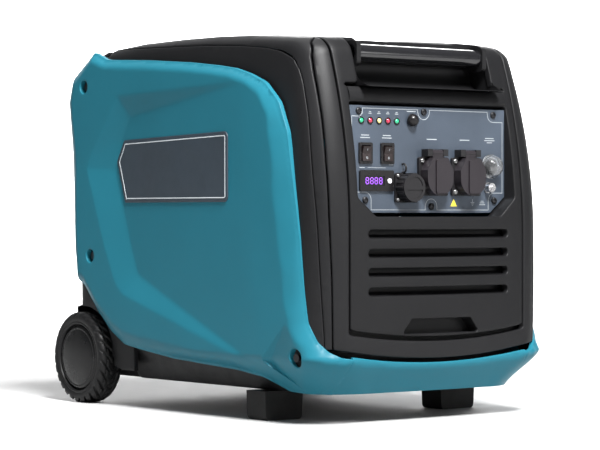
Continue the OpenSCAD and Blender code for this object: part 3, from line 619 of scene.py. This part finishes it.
def hand_space():
    """The space behind the grip: its scooped back wall, the wall's upper parts and its two ends."""
    scoop = [(-301.5, 427.5), (-296, 428.6), (-288, 428.9), (-280, 429.4)]
    scoop += arc(-262, 462, 34, 256, 326, 15)
    scoop += [(-231, 449), (-230.8, 455), (-231.4, 461), (-234.5, 463), (-236, 466), (-236.2, 478), (-235.6, 490.5)]
    low = [p for p in scoop if p[1] < 462]
    high = [p for p in scoop if p[1] > 460]
    strip("hand_space_wall", [[(x, y, z) for y, z in low] for x in np.linspace(-PANEL_X, PANEL_X, 25)],
          "panel", "front_panel")
    for k, (x0, x1) in enumerate(((-PANEL_X, -111.6), (-103.4, 103.4), (111.6, PANEL_X))):
        across = np.linspace(x0, x1, 3 + int((x1 - x0) / 12))
        strip("hand_space_lintel_%d" % (k + 1), [[(x, y, z) for y, z in high] for x in across], "panel",
              "front_panel")
    for sign, name in SIDES:
        up = np.linspace(436, 509, len(scoop))
        q, _ = on_shell(np.stack([np.full(len(scoop), sign * PANEL_X), up], 1))
        rows = [[(sign * (PANEL_X + 0.6 * math.sin(math.pi * k)), y + (b[1] - y) * k, z + (b[2] - z) * k)
                 for (y, z), b in zip(scoop, q)] for k in np.linspace(0, 1, 6)]
        strip("hand_space_end_" + name, rows, "panel", "front_panel")


def panel_backs():
    """What is seen through the recesses and slots of the panel, and the sloping lips in the slots."""
    strip("finger_recess_back", [[(x, -288 + 0.4 * math.cos(x / 30), z) for x in np.linspace(-67, 67, 20)]
                                 for z in np.linspace(110.5, 134, 6)], "panel", "front_panel")
    strip("slot_back", [[(x, -287 + 1.2 * math.sin(z / 8), z) for x in np.linspace(-124, 124, 20)]
                        for z in np.linspace(158, 252, 40)], "panel", "front_panel")
    for k, z in enumerate(SLOT_Z):
        rows = [[(x, -301.5 + 9 * t + 1.5 * (abs(x) / 119) ** 4, z - 5.2 + 4.4 * t * t)
                 for x in np.linspace(-117, 117, 30)] for t in np.linspace(0, 1, 6)]
        strip("slot_lip_%d" % (k + 1), rows, "panel", "front_panel")


top_cover()
for side in SIDES:
    side_band(*side)
for side in SIDES:
    wheel_house(*side)
front_ring()
front_panel()
hand_space()
panel_backs()

# -------------------- teal side covers and bumper

COVER = [  # y (past -250 it runs round the front corner), z, corner radius, width of the edge bevel, its drop
    (206, 493, 6, 12, 10), (261, 456, 14, 14, 9), (271, 425, 8, 16, 9), (261, 352, 30, 18, 9),
    (254, 221, 6, 14, 8), (249, 176, 9, 12, 9), (232, 166, 12, 14, 10), (199, 132, 25, 14, 10),
    (165, 104, 25, 16, 10), (132, 87, 20, 18, 10), (26, 72, 60, 20, 10), (-104, 64, 60, 16, 8),
    (-163, 57.5, 25, 9, 3), (-203, 40, 14, 6, 2), (-236, 38.2, 12, 6, 2), (-300, 38.2, 5, 5, 2),
    (-337, 38.2, 0, 3, 1.4), (-339.6, 62, 0, 2, 0.8), (-341, 84, 0, 4, 2), (-325, 86, 8, 10, 5),
    (-307, 93.5, 20, 16, 8), (-291, 106, 18, 22, 10), (-275.5, 130, 20, 28, 11), (-269, 166, 60, 32, 11),
    (-259.5, 237, 60, 34, 11), (-249, 285, 60, 32, 11), (-233, 370, 40, 26, 11), (-216, 408, 30, 18, 11),
    (-188, 434, 30, 13, 10.5), (-158, 446, 25, 11, 10), (-125, 455, 60, 11, 10), (-83, 461, 60, 11, 10),
    (-19, 468, 60, 11, 10), (71, 475, 60, 11, 10), (168, 480.5, 8, 11, 10), (178, 482, 6, 10, 10)]
# Each side of a sunk area: from, to, and the slope of the plane that falls in from it.
FIELD = [((-150, 437), (138, 429), 0.26), ((138, 429), (205, 350), 0.21), ((205, 350), (215, 330), 0.16),
         ((215, 330), (172, 225), 0.16), ((172, 225), (143, 171), 0.17), ((143, 171), (125, 156), 0.20),
         ((125, 156), (-150, 80), 0.24), ((-190, 80), (-150, 437), 0.029)]
CORNER = [((-240, 128), (-292, 92), 0.12), ((-292, 92), (-234, 44), 0.15), ((-234, 44), (-190, 81), 2.1),
          ((-190, 81), (-240, 128), 0.8)]
CORNER_DEPTH = 6.2
# Screw holes of a cover: y, z, radius, x of the seat.
SCREWS = [(222, 445, 9.5, 194.9), (206, 208, 9.5, 194.9), (-258, 86, 12, 192.0)]


def rim_field(p):
    """Below zero inside the smooth body that the covers and the bumper are cut from."""
    x, y, z = np.abs(p[..., 0]), p[..., 1], p[..., 2]
    t = np.clip((84 - z) / 46, 0, 1)
    soft = t * t * (3 - 2 * t) * 0.35 + t * 0.65
    front = 310 + 2 * np.clip(1 - (x / 100) ** 2, 0, 1)
    return both(-y - front + 28 * soft, x - 204 + 38 * soft, 58)


def sunk(u, z, edges, turn, limit, blend, start, ease):
    """Depth of a sunk area: planes falling in from its sides, down to limit, with softened folds."""
    vals = [np.full_like(u, limit)]
    for (y0, z0), (y1, z1), slope in edges:
        d = np.array([y1 - y0, z1 - z0], float)
        d /= np.linalg.norm(d)
        vals.append(turn * ((u - y0) * d[1] - (z - z0) * d[0]) * slope)
    least = np.min(vals, 0)
    m = least - blend * np.log(np.exp(-(np.array(vals) - least) / blend).sum(0))
    return ease * np.logaddexp(0, (m - start) / ease)


def corner_points():
    """Extra mesh points along the steep walls of the sunk corner."""
    pts = []
    offsets = ((-0.7, 0.1, 0.9, 1.8, 2.7, 3.3, 4.2), (-0.8, 0.2, 1.2, 3, 5, 7, 8.2, 9.4))
    for (a, b, _), offs in zip(CORNER[2:], offsets):
        a, b = np.array(a, float), np.array(b, float)
        d = (b - a) / np.linalg.norm(b - a)
        n = np.array([-d[1], d[0]])
        pts += [a + d * t + n * off for off in offs for t in np.arange(1.5, np.linalg.norm(b - a) - 1, 2.4)]
    return pts


def cover_outline():
    """The covers' outline, with the width and the drop of the edge bevel at each of its points."""
    rows = np.array(COVER, float)
    loop = resample(rounded_loop(rows[:, :2], rows[:, 2], 3), 4)
    near = np.sqrt(((loop[:, None] - rows[None, :, :2]) ** 2).sum(2))
    weight = 1 / (near + 4) ** 3
    weight /= weight.sum(1)[:, None]
    return loop, weight @ rows[:, 3], weight @ rows[:, 4]


cover_loop, cover_bevel, cover_drop = cover_outline()


def cover_surface(sign, lift=0.0):
    """A cover's face in coordinates (y, z); y past -250 runs round the front corner."""
    def surf(q):
        u, z = q[:, 0], q[:, 1]
        a = np.clip((-250 - u) / 58, 0, 2)
        d = np.stack([-np.cos(a), -np.sin(a), np.zeros_like(u)], 1)
        o = np.stack([np.where(u > -250, -100.0, -146.0), np.maximum(u, -250.0), z], 1)
        dist, k, t = nearest_on_loop(q, cover_loop)
        dist = np.where(inside(q, cover_loop), dist, 0)
        w, h = (v[k] * (1 - t) + np.roll(v, -1)[k] * t for v in (cover_bevel, cover_drop))
        bevel = 0.045 * np.log1p(np.exp(np.clip((1 - dist / w) / 0.045, -30, 30)))
        e = (1 - np.clip(dist / 3.2, 0, 1)) * 0.9
        drop = (h - 1.4) * np.clip(bevel, 0, 1) ** 1.15 + 2.4 * (1 - np.sqrt(1 - e * e))
        drop += sunk(u, z, FIELD, 1, math.inf, 0.16, 0.1, 0.14)
        drop += sunk(u, z, CORNER, -1, CORNER_DEPTH, 0.12, 0.05, 0.1)
        p = cast(o, d, rim_field) - d * drop[:, None]
        flip = np.array([-sign, 1, 1])
        return p * flip + d * flip * lift, d * flip
    return surf


def side_cover(sign, name):
    """A teal cover with its screw holes; the right one also has the starter grip's hole."""
    holes = [circle(y, z, r) for y, z, r, _ in SCREWS]
    if sign > 0:
        holes.append(rounded_loop([(2, 234), (78, 234), (78, 266), (2, 266)], 8))
    skin("side_shell_" + name, cover_loop, holes, cover_surface(sign), "teal", "side_cover_" + name, roll=1.0,
         depth=5, hole_depth=[7.5] * 3 + [4.0] * (len(holes) - 3), spacing=3.4, step=3.0, smooth=60,
         hole_roll=0.9, extra=corner_points())


def bumper_surface(q):
    """The bumper's face in (x, z), rounded off along its top and bottom."""
    x, z = q[:, 0], q[:, 1]
    d = np.tile([0.0, -1, 0], (len(q), 1))
    base = cast(np.stack([x, np.full_like(x, -200.0), z], 1), d, rim_field)
    drop = 0
    for away, width, deep in ((arc_up(x, 76) - z, 8, 4.5), (z - 38, 7, 3.5)):
        k = (1 - np.clip(away / width, 0, 1)) * 0.95
        drop = drop + deep * (1 - np.sqrt(1 - k * k))
    return base - d * drop[:, None], d


def bumper():
    low = [(x, 38.4) for x in np.linspace(-158, 158, 45)]
    top = [(x, arc_up(x, 76)) for x in np.linspace(147, -147, 45)]
    skin("bumper_moulding", low + [(152.6, 62)] + top + [(-152.6, 62)], [], bumper_surface, "teal",
         "front_bumper", roll=0.8, depth=4, spacing=5, step=3.5)


def label(sign, name):
    """A label plate on the sunk field, with a thin pale border."""
    outline = rounded_loop([(148, 339), (130, 368), (-120, 374), (-120, 282), (128, 282)], [3, 6, 8, 8, 3])
    skin("label_film_" + name, outline, [], cover_surface(sign, 1.5), "label", "label_plate_" + name, roll=0.7,
         depth=2.0, spacing=9, step=4)
    loop = counter_clockwise(outline)
    a, b = (loop - loop_normals(loop) * inset for inset in (5.0, 6.3))
    skin("label_rule_" + name, a, [b], cover_surface(sign, 1.72), "rule", "label_plate_" + name, roll=0.15,
         depth=0.3, spacing=50, step=4)


def screw_seats(sign, name):
    """Dark seats at the bottom of the screw holes."""
    for k, (y, z, r, x) in enumerate(SCREWS):
        prof = ((r + 1.2, -1.5), (r - 0.4, 0.2), (r - 2.5, 0.6), (2.6, 0.8), (2.2, 3.0))
        rows = [[(sign * (x - dx), u, v) for u, v in arc(y, z, q, 0, 360, 33)] for q, dx in prof]
        strip("screw_seat_%s_%d" % (name, k + 1), rows, "case", "side_cover_" + name)


for side in SIDES:
    side_cover(*side)
bumper()
for side in SIDES:
    label(*side)
for side in SIDES:
    screw_seats(*side)

# -------------------- wheels


def tread_cut(th, r, mid, rad):
    """How deep the chevron grooves and the two fine slits are cut, round the tyre at mid from its middle."""
    phase = th * 26 / (2 * math.pi) + abs(mid) / 13.0 + (0.5 if mid > 0 else 0)
    saw = np.abs((phase % 1) - 0.5) * 2
    cut = np.clip((0.36 - saw) / 0.12, 0, 1)
    cut = cut * np.clip((r - (rad - 7.5)) / 4, 0, 1) * np.clip((abs(mid) - 1.2) / 1.2, 0, 1)
    slit = np.clip(1 - abs(abs(mid) - 9) / 1.0, 0, 1) * (1 if r > rad - 2 else 0)
    return np.maximum(2.8 * cut, 1.6 * slit)


def wheel(sign, name):
    """A tyre with a chevron tread, and the domed cap of its hub."""
    lo, hi = box_mm("tyre_" + name)
    cy, cz, width, rad = (lo[1] + hi[1]) / 2, (lo[2] + hi[2]) / 2, hi[0] - lo[0], (hi[2] - lo[2]) / 2
    out = lo[0] if sign < 0 else hi[0]
    prof = [(44.2, 7.2), (46.2, 6.8), (46.9, 1.6), (47.8, 0.7), (49.4, 0.5), (50.4, 1.0), (51.8, 0.4),
            (54.5, 0.1)]
    prof += [(rad - 8 + 8 * math.sin(a), 8 - 8 * math.cos(a)) for a in np.radians(np.linspace(4, 84, 10))]
    prof += [(rad - 0.15 * abs(w - width / 2) / 11, w) for w in np.linspace(8.6, width - 8.6, 15)]
    prof += [(rad - 8 + 8 * math.cos(a), width - 8 + 8 * math.sin(a))
             for a in np.radians(np.linspace(6, 86, 10))]
    prof += [(50, width - 0.4), (47.5, width - 0.8), (44.5, width - 6), (44, 20), (44.2, 7.2)]
    n = 384
    th = np.arange(n) * 2 * math.pi / n
    verts = []
    for r, w in prof:
        radii = r - tread_cut(th, r, w - width / 2, rad)
        verts += [(out - sign * w, cy + q * math.cos(a), cz + q * math.sin(a)) for q, a in zip(radii, th)]
    tyre = mesh_from("tread_" + name, verts, band_faces(len(prof), n), "tyre", "wheel_" + name, 38)
    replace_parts(tyre, "tyre_" + name)
    cap = [(0.01, -1.15), (8, -1.1), (16, -0.9), (24, -0.45), (31, 0.15), (36.6, 0.9), (38.2, 1.3),
           (38.9, 1.9), (39.6, 1.9), (40.2, 1.5), (41.5, 1.7), (43.6, 2.8), (45.0, 4.4), (45.4, 5.4),
           (44.6, 6.4), (43.4, 6.8), (39.5, 6.8), (39.5, 12)]
    turned("cap_dome_" + name, [(r, -sign * h) for r, h in cap], (out, cy, cz), 0, "cap", "hubcap_" + name,
           "wheel_" + name, 96)


for side in SIDES:
    wheel(*side)

# -------------------- controls and markings

PLATE_Y = box_mm("control_plate")[0][1]  # face of the control plate
PRINT = (PLATE_Y + 0.02, PLATE_Y - 0.14)  # back and face of what is printed on it
lamp_lo, lamp_hi = box_mm("led_lamps")
LAMP_X = np.linspace(lamp_lo[0] + 4.2, lamp_hi[0] - 4.2, 5)
LAMP_Z = (lamp_lo[2] + lamp_hi[2]) / 2
LAMP_COLOURS = ("lens_green", "lens_red", "lens_yellow", "lens_red", "lens_green")
ROCKER_Z = 343.5
ROCKER_TILT = math.radians(7)


def lamps():
    """Dark bezels with domed lenses."""
    for k, (x, key) in enumerate(zip(LAMP_X, LAMP_COLOURS), 1):
        turned("lamp_bezel_%d" % k, [(4.7, 0.2), (4.7, -0.9), (4.3, -1.3), (3.4, -1.3), (3.2, -0.8), (3.2, 2)],
               (x, PLATE_Y, LAMP_Z), 1, "switch", "led_lamps")
        lens = [(3.2, 0.5), (3.15, -0.7), (2.7, -1.5), (1.7, -2.0), (0.8, -2.15), (0.01, -2.2)]
        turned("lamp_lens_%d" % k, lens, (x, PLATE_Y, LAMP_Z), 1, key, "led_lamps")


def plate_line():
    """Pale line round the plate, stepping round the screws."""
    pts = arc(-118, 397, 6.8, 270, 360) + [(-111.2, 400.6), (-19, 400.6)] + arc(-9, 398, 10, 180, 360)
    pts += [(1, 400.6), (102, 400.6)] + arc(112, 397, 9.5, 180, 270) + [(128.8, 387.5), (128.8, 294)]
    pts += arc(114, 284, 10, 90, 180) + [(104, 271.6), (14, 271.6)] + arc(4, 276, 10, 0, 180)
    pts += [(-6, 271.6), (-97, 271.6)] + arc(-107, 284, 10, 0, 90) + [(-128.8, 294), (-128.8, 390.2)]
    loop = resample(counter_clockwise(np.array(pts[::-1], float)), 1.5)
    verts = []
    for off, y in zip((0.36, 0.32, -0.32, -0.36), (PRINT[0], PRINT[1], PRINT[1], PRINT[0])):
        verts += [(x, y, z) for x, z in loop + loop_normals(loop) * off]
    mesh_from("plate_line", verts, band_faces(4, len(loop)), "ink", smooth=30)


def plate_marks():
    """Plain bars where the captions are, and a plain triangle."""
    marks = [bar(x, 394.2, 5.4, 0.9) for x in LAMP_X] + [bar(x, 396.2, 3.4, 0.9) for x in LAMP_X]
    marks += [bar(-30, 398.2, 15, 1.1)]
    for x in (-107, -71):
        marks += [bar(x, 366.4, 13, 1.1), bar(x, 363.3, 16, 1.1)]
    marks += [bar(-112, 325.2, 9, 0.8), bar(-88, 325.2, 30, 0.5)]
    marks += [bar(-64, 331.5, 9, 0.9), bar(-64, 329.2, 7, 0.9)]
    marks += [bar(x, 363, 17, 1.1) for x in (5, 62)]
    marks += [bar(106, 366, 15, 1.0), bar(106, 363.2, 18, 1.0), bar(106, 360.4, 9, 1.0)]
    marks += [bar(76, z, w, 0.8) for z, w in ((281.5, 6.5), (279.6, 4.2), (277.7, 2.0))]
    marks += [bar(76, 283.8, 0.8, 4)]
    marks += [bar(93, 281, 7.5, 0.7), bar(93, 278.6, 10, 0.7), bar(93, 283.2, 5, 0.7)]
    shapes("plate_marks", marks, *PRINT, "ink")
    shapes("plate_sign", [[(37.5, 276.4), (48.5, 276.4), (43, 286)]], *PRINT, "sign")


def display():
    """The smoked window and its four generic figures."""
    y = box_mm("display_module")[0][1] + 1.2
    window = rounded_loop([(-108.8, 302.7), (-77.2, 302.7), (-77.2, 314.3), (-108.8, 314.3)], 0.8, 0.6)
    shapes("display_window", [window], y + 0.2, y - 0.15, "smoke", edge=0.1)
    figures = []
    for x0 in (-107.2 + 7.35 * k for k in range(4)):
        figures += [bar(x0 + 2.6, z, 3.3, 0.6) for z in (304.6, 308.5, 312.4)]
        figures += [bar(x, z, 0.6, 2.8) for x in (x0 + 0.35, x0 + 4.85) for z in (306.55, 310.45)]
    shapes("display_figures", figures, y - 0.1, y - 0.3, "violet")


def rocker_marks(node, body, x):
    """A stroke on the upper half of a rocker's dished face and a ring on the lower half."""
    def on_rocker(dx, w, lift):
        y = -4.6 - 2.0 * abs(w) / 9.2 - lift
        return (x + dx, PLATE_Y + 1 + y * math.cos(ROCKER_TILT) - w * math.sin(ROCKER_TILT),
                ROCKER_Z + y * math.sin(ROCKER_TILT) + w * math.cos(ROCKER_TILT))

    loops = [bar(0, 5.2, 0.6, 2.6)]
    for a0, a1 in [(2 * math.pi * i / 16, 2 * math.pi * (i + 1) / 16) for i in range(16)]:
        corners = ((0.95, a0), (1.4, a0), (1.4, a1), (0.95, a1))
        loops.append([(q * math.cos(a), -5.2 + q * math.sin(a)) for q, a in corners])
    verts, faces = [], []
    for loop in loops:
        n, s = len(loop), len(verts)
        verts += [on_rocker(a, b, lift) for lift in (-0.02, 0.14) for a, b in loop]
        faces += band_faces(2, n, True, s)
        faces.append([s + n + i for i in range(n)])
    mesh_from("marks_" + node, verts, faces, "ink", body, 30)


def panel_rail():
    """Rounded rail across the panel under the hand space, and the dark wall behind the panel's lower gap."""
    rows = []
    for t in np.linspace(0, 1, 13):
        q, _ = on_shell(np.array([(x, 409.8 + 18.0 * t) for x in np.linspace(-133.6, 133.6, 40)]))
        q[:, 1] -= 3.2 * math.sin(math.pi * t) ** 0.55 - 0.5
        rows.append(q)
    strip("panel_rail", rows, "panel", "front_panel")
    strip("panel_gap_back", [[(x, -288 + 0.5 * math.cos(x / 40), z) for x in np.linspace(-152, 152, 24)]
                             for z in np.linspace(92, 128, 7)], "panel", "front_panel")


def screw_heads():
    """Screw heads on the plate, on the outlets' flanges and on the round outlet's flange."""
    plate = [(-118, 397), (-9, 398), (112, 397), (-107, 284), (4, 276), (114, 284)]
    mains = [(x + 20 * i, 315 + 20 * j) for x in (5, 62) for i in (-1, 1) for j in (-1, 1)]
    outlet = [(15.4 * i - 40, 300 + 15.4 * j) for i in (-1, 1) for j in (-1, 1)]
    heads = [(x, PLATE_Y, z, 4.4, 2.5, "screw") for x, z in plate]
    heads += [(x, PLATE_Y - 4, z, 3.0, 2.5, "bolt") for x, z in mains]
    heads += [(x, PLATE_Y - 3, z, 2.2, 2.4, "bolt") for x, z in outlet]
    for k, (x, y, z, r, high, key) in enumerate(heads, 1):
        head = [(r, 0.3), (r, -high * 0.55), (r * 0.9, -high * 0.85), (r * 0.62, -high), (r * 0.50, -high),
                (r * 0.42, -high * 0.6), (0.01, -high * 0.5)]
        turned("screw_head_%02d" % k, head, (x, y, z), 1, key, "panel_screws", n=24)


lamps()
plate_line()
plate_marks()
display()
for rocker in (("rocker_run", "run_switch", -107), ("rocker_eco", "eco_switch", -71)):
    rocker_marks(*rocker)
panel_rail()
screw_heads()

# -------------------- pan


def pan_loop(z, inset):
    """The pan's outline at a height: wide in front, narrow between the wheels."""
    w = np.interp(z, [38, 86, 96], [159, 186, 187]) - inset
    f = np.interp(z, [38, 86, 96], [-262, -268, -268]) + inset
    r, between, back = 52 - inset, 151.6 - inset, 250 - inset
    pts = [(-w, 150 - inset), (-w, f), (w, f), (w, 150 - inset), (between, 150 - inset), (between, back),
           (-between, back), (-between, 150 - inset)]
    return rounded_loop(pts, [2, r, r, 2, 2, 5, 5, 2], 4)


def pan():
    """A pressed tray with rounded corners and a turned-in lip."""
    low = box_mm("base_pan")[0][2]
    levels = [(low, 4.0), (low + 0.5, 1.7), (low + 1.8, 0.5), (low + 4, 0), (60, 0), (84, 0), (93.5, 0),
              (95.2, 0.5), (95.9, 1.7), (95.9, 4.2), (94.5, 4.6), (84, 4.6), (60, 4.6), (low + 5, 4.6)]
    n = 320
    verts = []
    for z, inset in levels:
        loop = resample(pan_loop(z, inset), 6)
        c = np.vstack([loop, loop[:1]])
        s = np.concatenate([[0], np.cumsum(np.sqrt((np.diff(c, axis=0) ** 2).sum(1)))])
        t = np.linspace(0, s[-1], n + 1)[:-1]
        verts += [(x, y, z) for x, y in zip(np.interp(t, s, c[:, 0]), np.interp(t, s, c[:, 1]))]
    faces = band_faces(len(levels), n) + [list(range(n))[::-1], [(len(levels) - 1) * n + i for i in range(n)]]
    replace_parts(mesh_from("pan_pressing", verts, faces, "pan", smooth=35), "base_pan")


pan()

# -------------------- materials and soft edges of the CAD's own pieces

MATERIAL = {
    "front_feet": "rubber", "engine_mounts": "rubber", "axle": "steel", "hub_left": "hub", "hub_right": "hub",
    "rear_panel": "case", "cover_screws": "screw", "label_plate_left": "label", "label_plate_right": "label",
    "handle_grip": "tube", "handle_arms": "arm", "fuel_cap": "case", "fuel_tank": "tank",
    "control_plate": "plate",
    "reset_button": "switch", "rocker_bezels": "switch", "rocker_run": "rocker", "rocker_eco": "rocker",
    "display_module": "switch", "display_button": "white", "dc_socket": "socket", "dc_socket_cap": "socket",
    "mains_sockets": "socket", "lid_one": "lid", "lid_two": "lid", "breaker_body": "switch",
    "breaker_button": "switch", "breaker_dome": "dome", "ground_terminal": "steel", "inverter_unit": "alloy",
    "battery": "tank", "crankcase": "alloy", "barrel": "alloy", "valve_cover": "case", "crankshaft": "iron",
    "rotor": "iron", "stator": "copper", "cooling_fan": "case", "recoil_housing": "case",
    "recoil_grip": "rubber",
    "carburettor": "alloy", "air_cleaner": "tank", "muffler": "exhaust", "starter_motor": "iron"}
BEVEL = {  # width of the rounded edges, mm
    "front_feet": 2.0, "fuel_cap": 1.0, "reset_button": 0.3, "rocker_bezels": 0.5, "rocker_run": 0.5,
    "rocker_eco": 0.5, "display_module": 0.6, "dc_socket": 0.5, "dc_socket_cap": 0.6, "mains_sockets": 0.7,
    "lid_one": 0.9, "lid_two": 0.9, "breaker_body": 0.5, "control_plate": 0.3, "rear_panel": 0.8,
    "handle_arms": 1.0, "recoil_grip": 1.2, "cover_screws": 0.4, "label_plate_left": 0.4,
    "label_plate_right": 0.4,
    "battery": 1.0, "air_cleaner": 1.5, "valve_cover": 1.5}
for ob in [o for o in bpy.data.objects if o.type == "MESH" and o.name in MATERIAL]:
    ob.data.materials.clear()
    ob.data.materials.append(M[MATERIAL[ob.name]])
    if ob.name in BEVEL:
        edges = ob.modifiers.new("soft_edges", "BEVEL")
        edges.width = BEVEL[ob.name] * MM
        edges.segments = 3
        edges.limit_method = "ANGLE"
        edges.angle_limit = math.radians(32)
        edges.harden_normals = False

# -------------------- floor, light and camera, in metres


def floor():
    """A floor that curves up into a backdrop, square to the camera."""
    bend = [(3.4 + 2.2 * math.sin(a), 2.2 - 2.2 * math.cos(a)) for a in np.linspace(0, math.pi / 2, 14)]
    path = [(-7.0, 0.0)] + bend + [(5.6, 6.0)]
    verts = [(0.6 * d + 0.8 * s, 0.8 * d - 0.6 * s, h) for s in np.linspace(-8, 8, 9) for d, h in path]
    me = bpy.data.meshes.new("floor")
    me.from_pydata(verts, [], band_faces(9, len(path), False))
    for p in me.polygons:
        p.use_smooth = True
    ob = bpy.data.objects.new("floor", me)
    bpy.context.scene.collection.objects.link(ob)
    me.materials.append(surface("floor_paint", (0.40, 0.40, 0.40), 0.75, grain=90, bump=0.01, vary=0.01))


def area_light(name, loc, aim, size, power):
    lamp = bpy.data.lights.new(name, "AREA")
    lamp.shape = "RECTANGLE"
    lamp.size, lamp.size_y = size
    lamp.energy = power
    ob = bpy.data.objects.new(name, lamp)
    ob.location = loc
    ob.rotation_euler = (Vector(aim) - Vector(loc)).to_track_quat("-Z", "Y").to_euler()
    bpy.context.scene.collection.objects.link(ob)


floor()
area_light("key", (-0.80, -2.60, 3.45), (0, 0, 0.25), (1.1, 1.1), 620)
area_light("side_fill", (-4.2, -0.6, 1.2), (0, 0, 0.25), (1.4, 1.4), 9)
area_light("front_fill", (1.8, -3.6, 0.9), (0, -0.3, 0.25), (1.4, 1.0), 20)
area_light("top_soft", (0.0, 0.8, 3.0), (0, 0, 0.4), (2.4, 2.4), 36)
area_light("rim", (2.8, 2.4, 1.9), (0, 0, 0.4), (1.4, 1.4), 30)
area_light("backdrop", (2.4, 3.0, 2.2), (4.4, 5.6, 1.2), (3.0, 1.6), 620)
area_light("backdrop_low", (1.2, 1.9, 1.6), (2.4, 3.2, 0.0), (2.6, 1.2), 170)

world = bpy.data.worlds.new("studio")
world.use_nodes = True
sky = world.node_tree.nodes["Background"]
sky.inputs["Color"].default_value = (0.95, 0.97, 1.0, 1)
sky.inputs["Strength"].default_value = 0.20
bpy.context.scene.world = world
bpy.context.scene.view_settings.view_transform = "Standard"

# the camera fitted to the photograph
lens = bpy.data.cameras.new("camera")
lens.lens = 144.21
lens.sensor_width = 36.0
camera = bpy.data.objects.new("camera", lens)
camera.location = (-2.04817, -2.62936, 0.26569)
turn, dip = math.radians(38.04), math.radians(0.25)
look = Vector((math.sin(turn) * math.cos(dip), math.cos(turn) * math.cos(dip), -math.sin(dip)))
camera.rotation_euler = look.to_track_quat("-Z", "Y").to_euler()
bpy.context.scene.collection.objects.link(camera)
bpy.context.scene.camera = camera
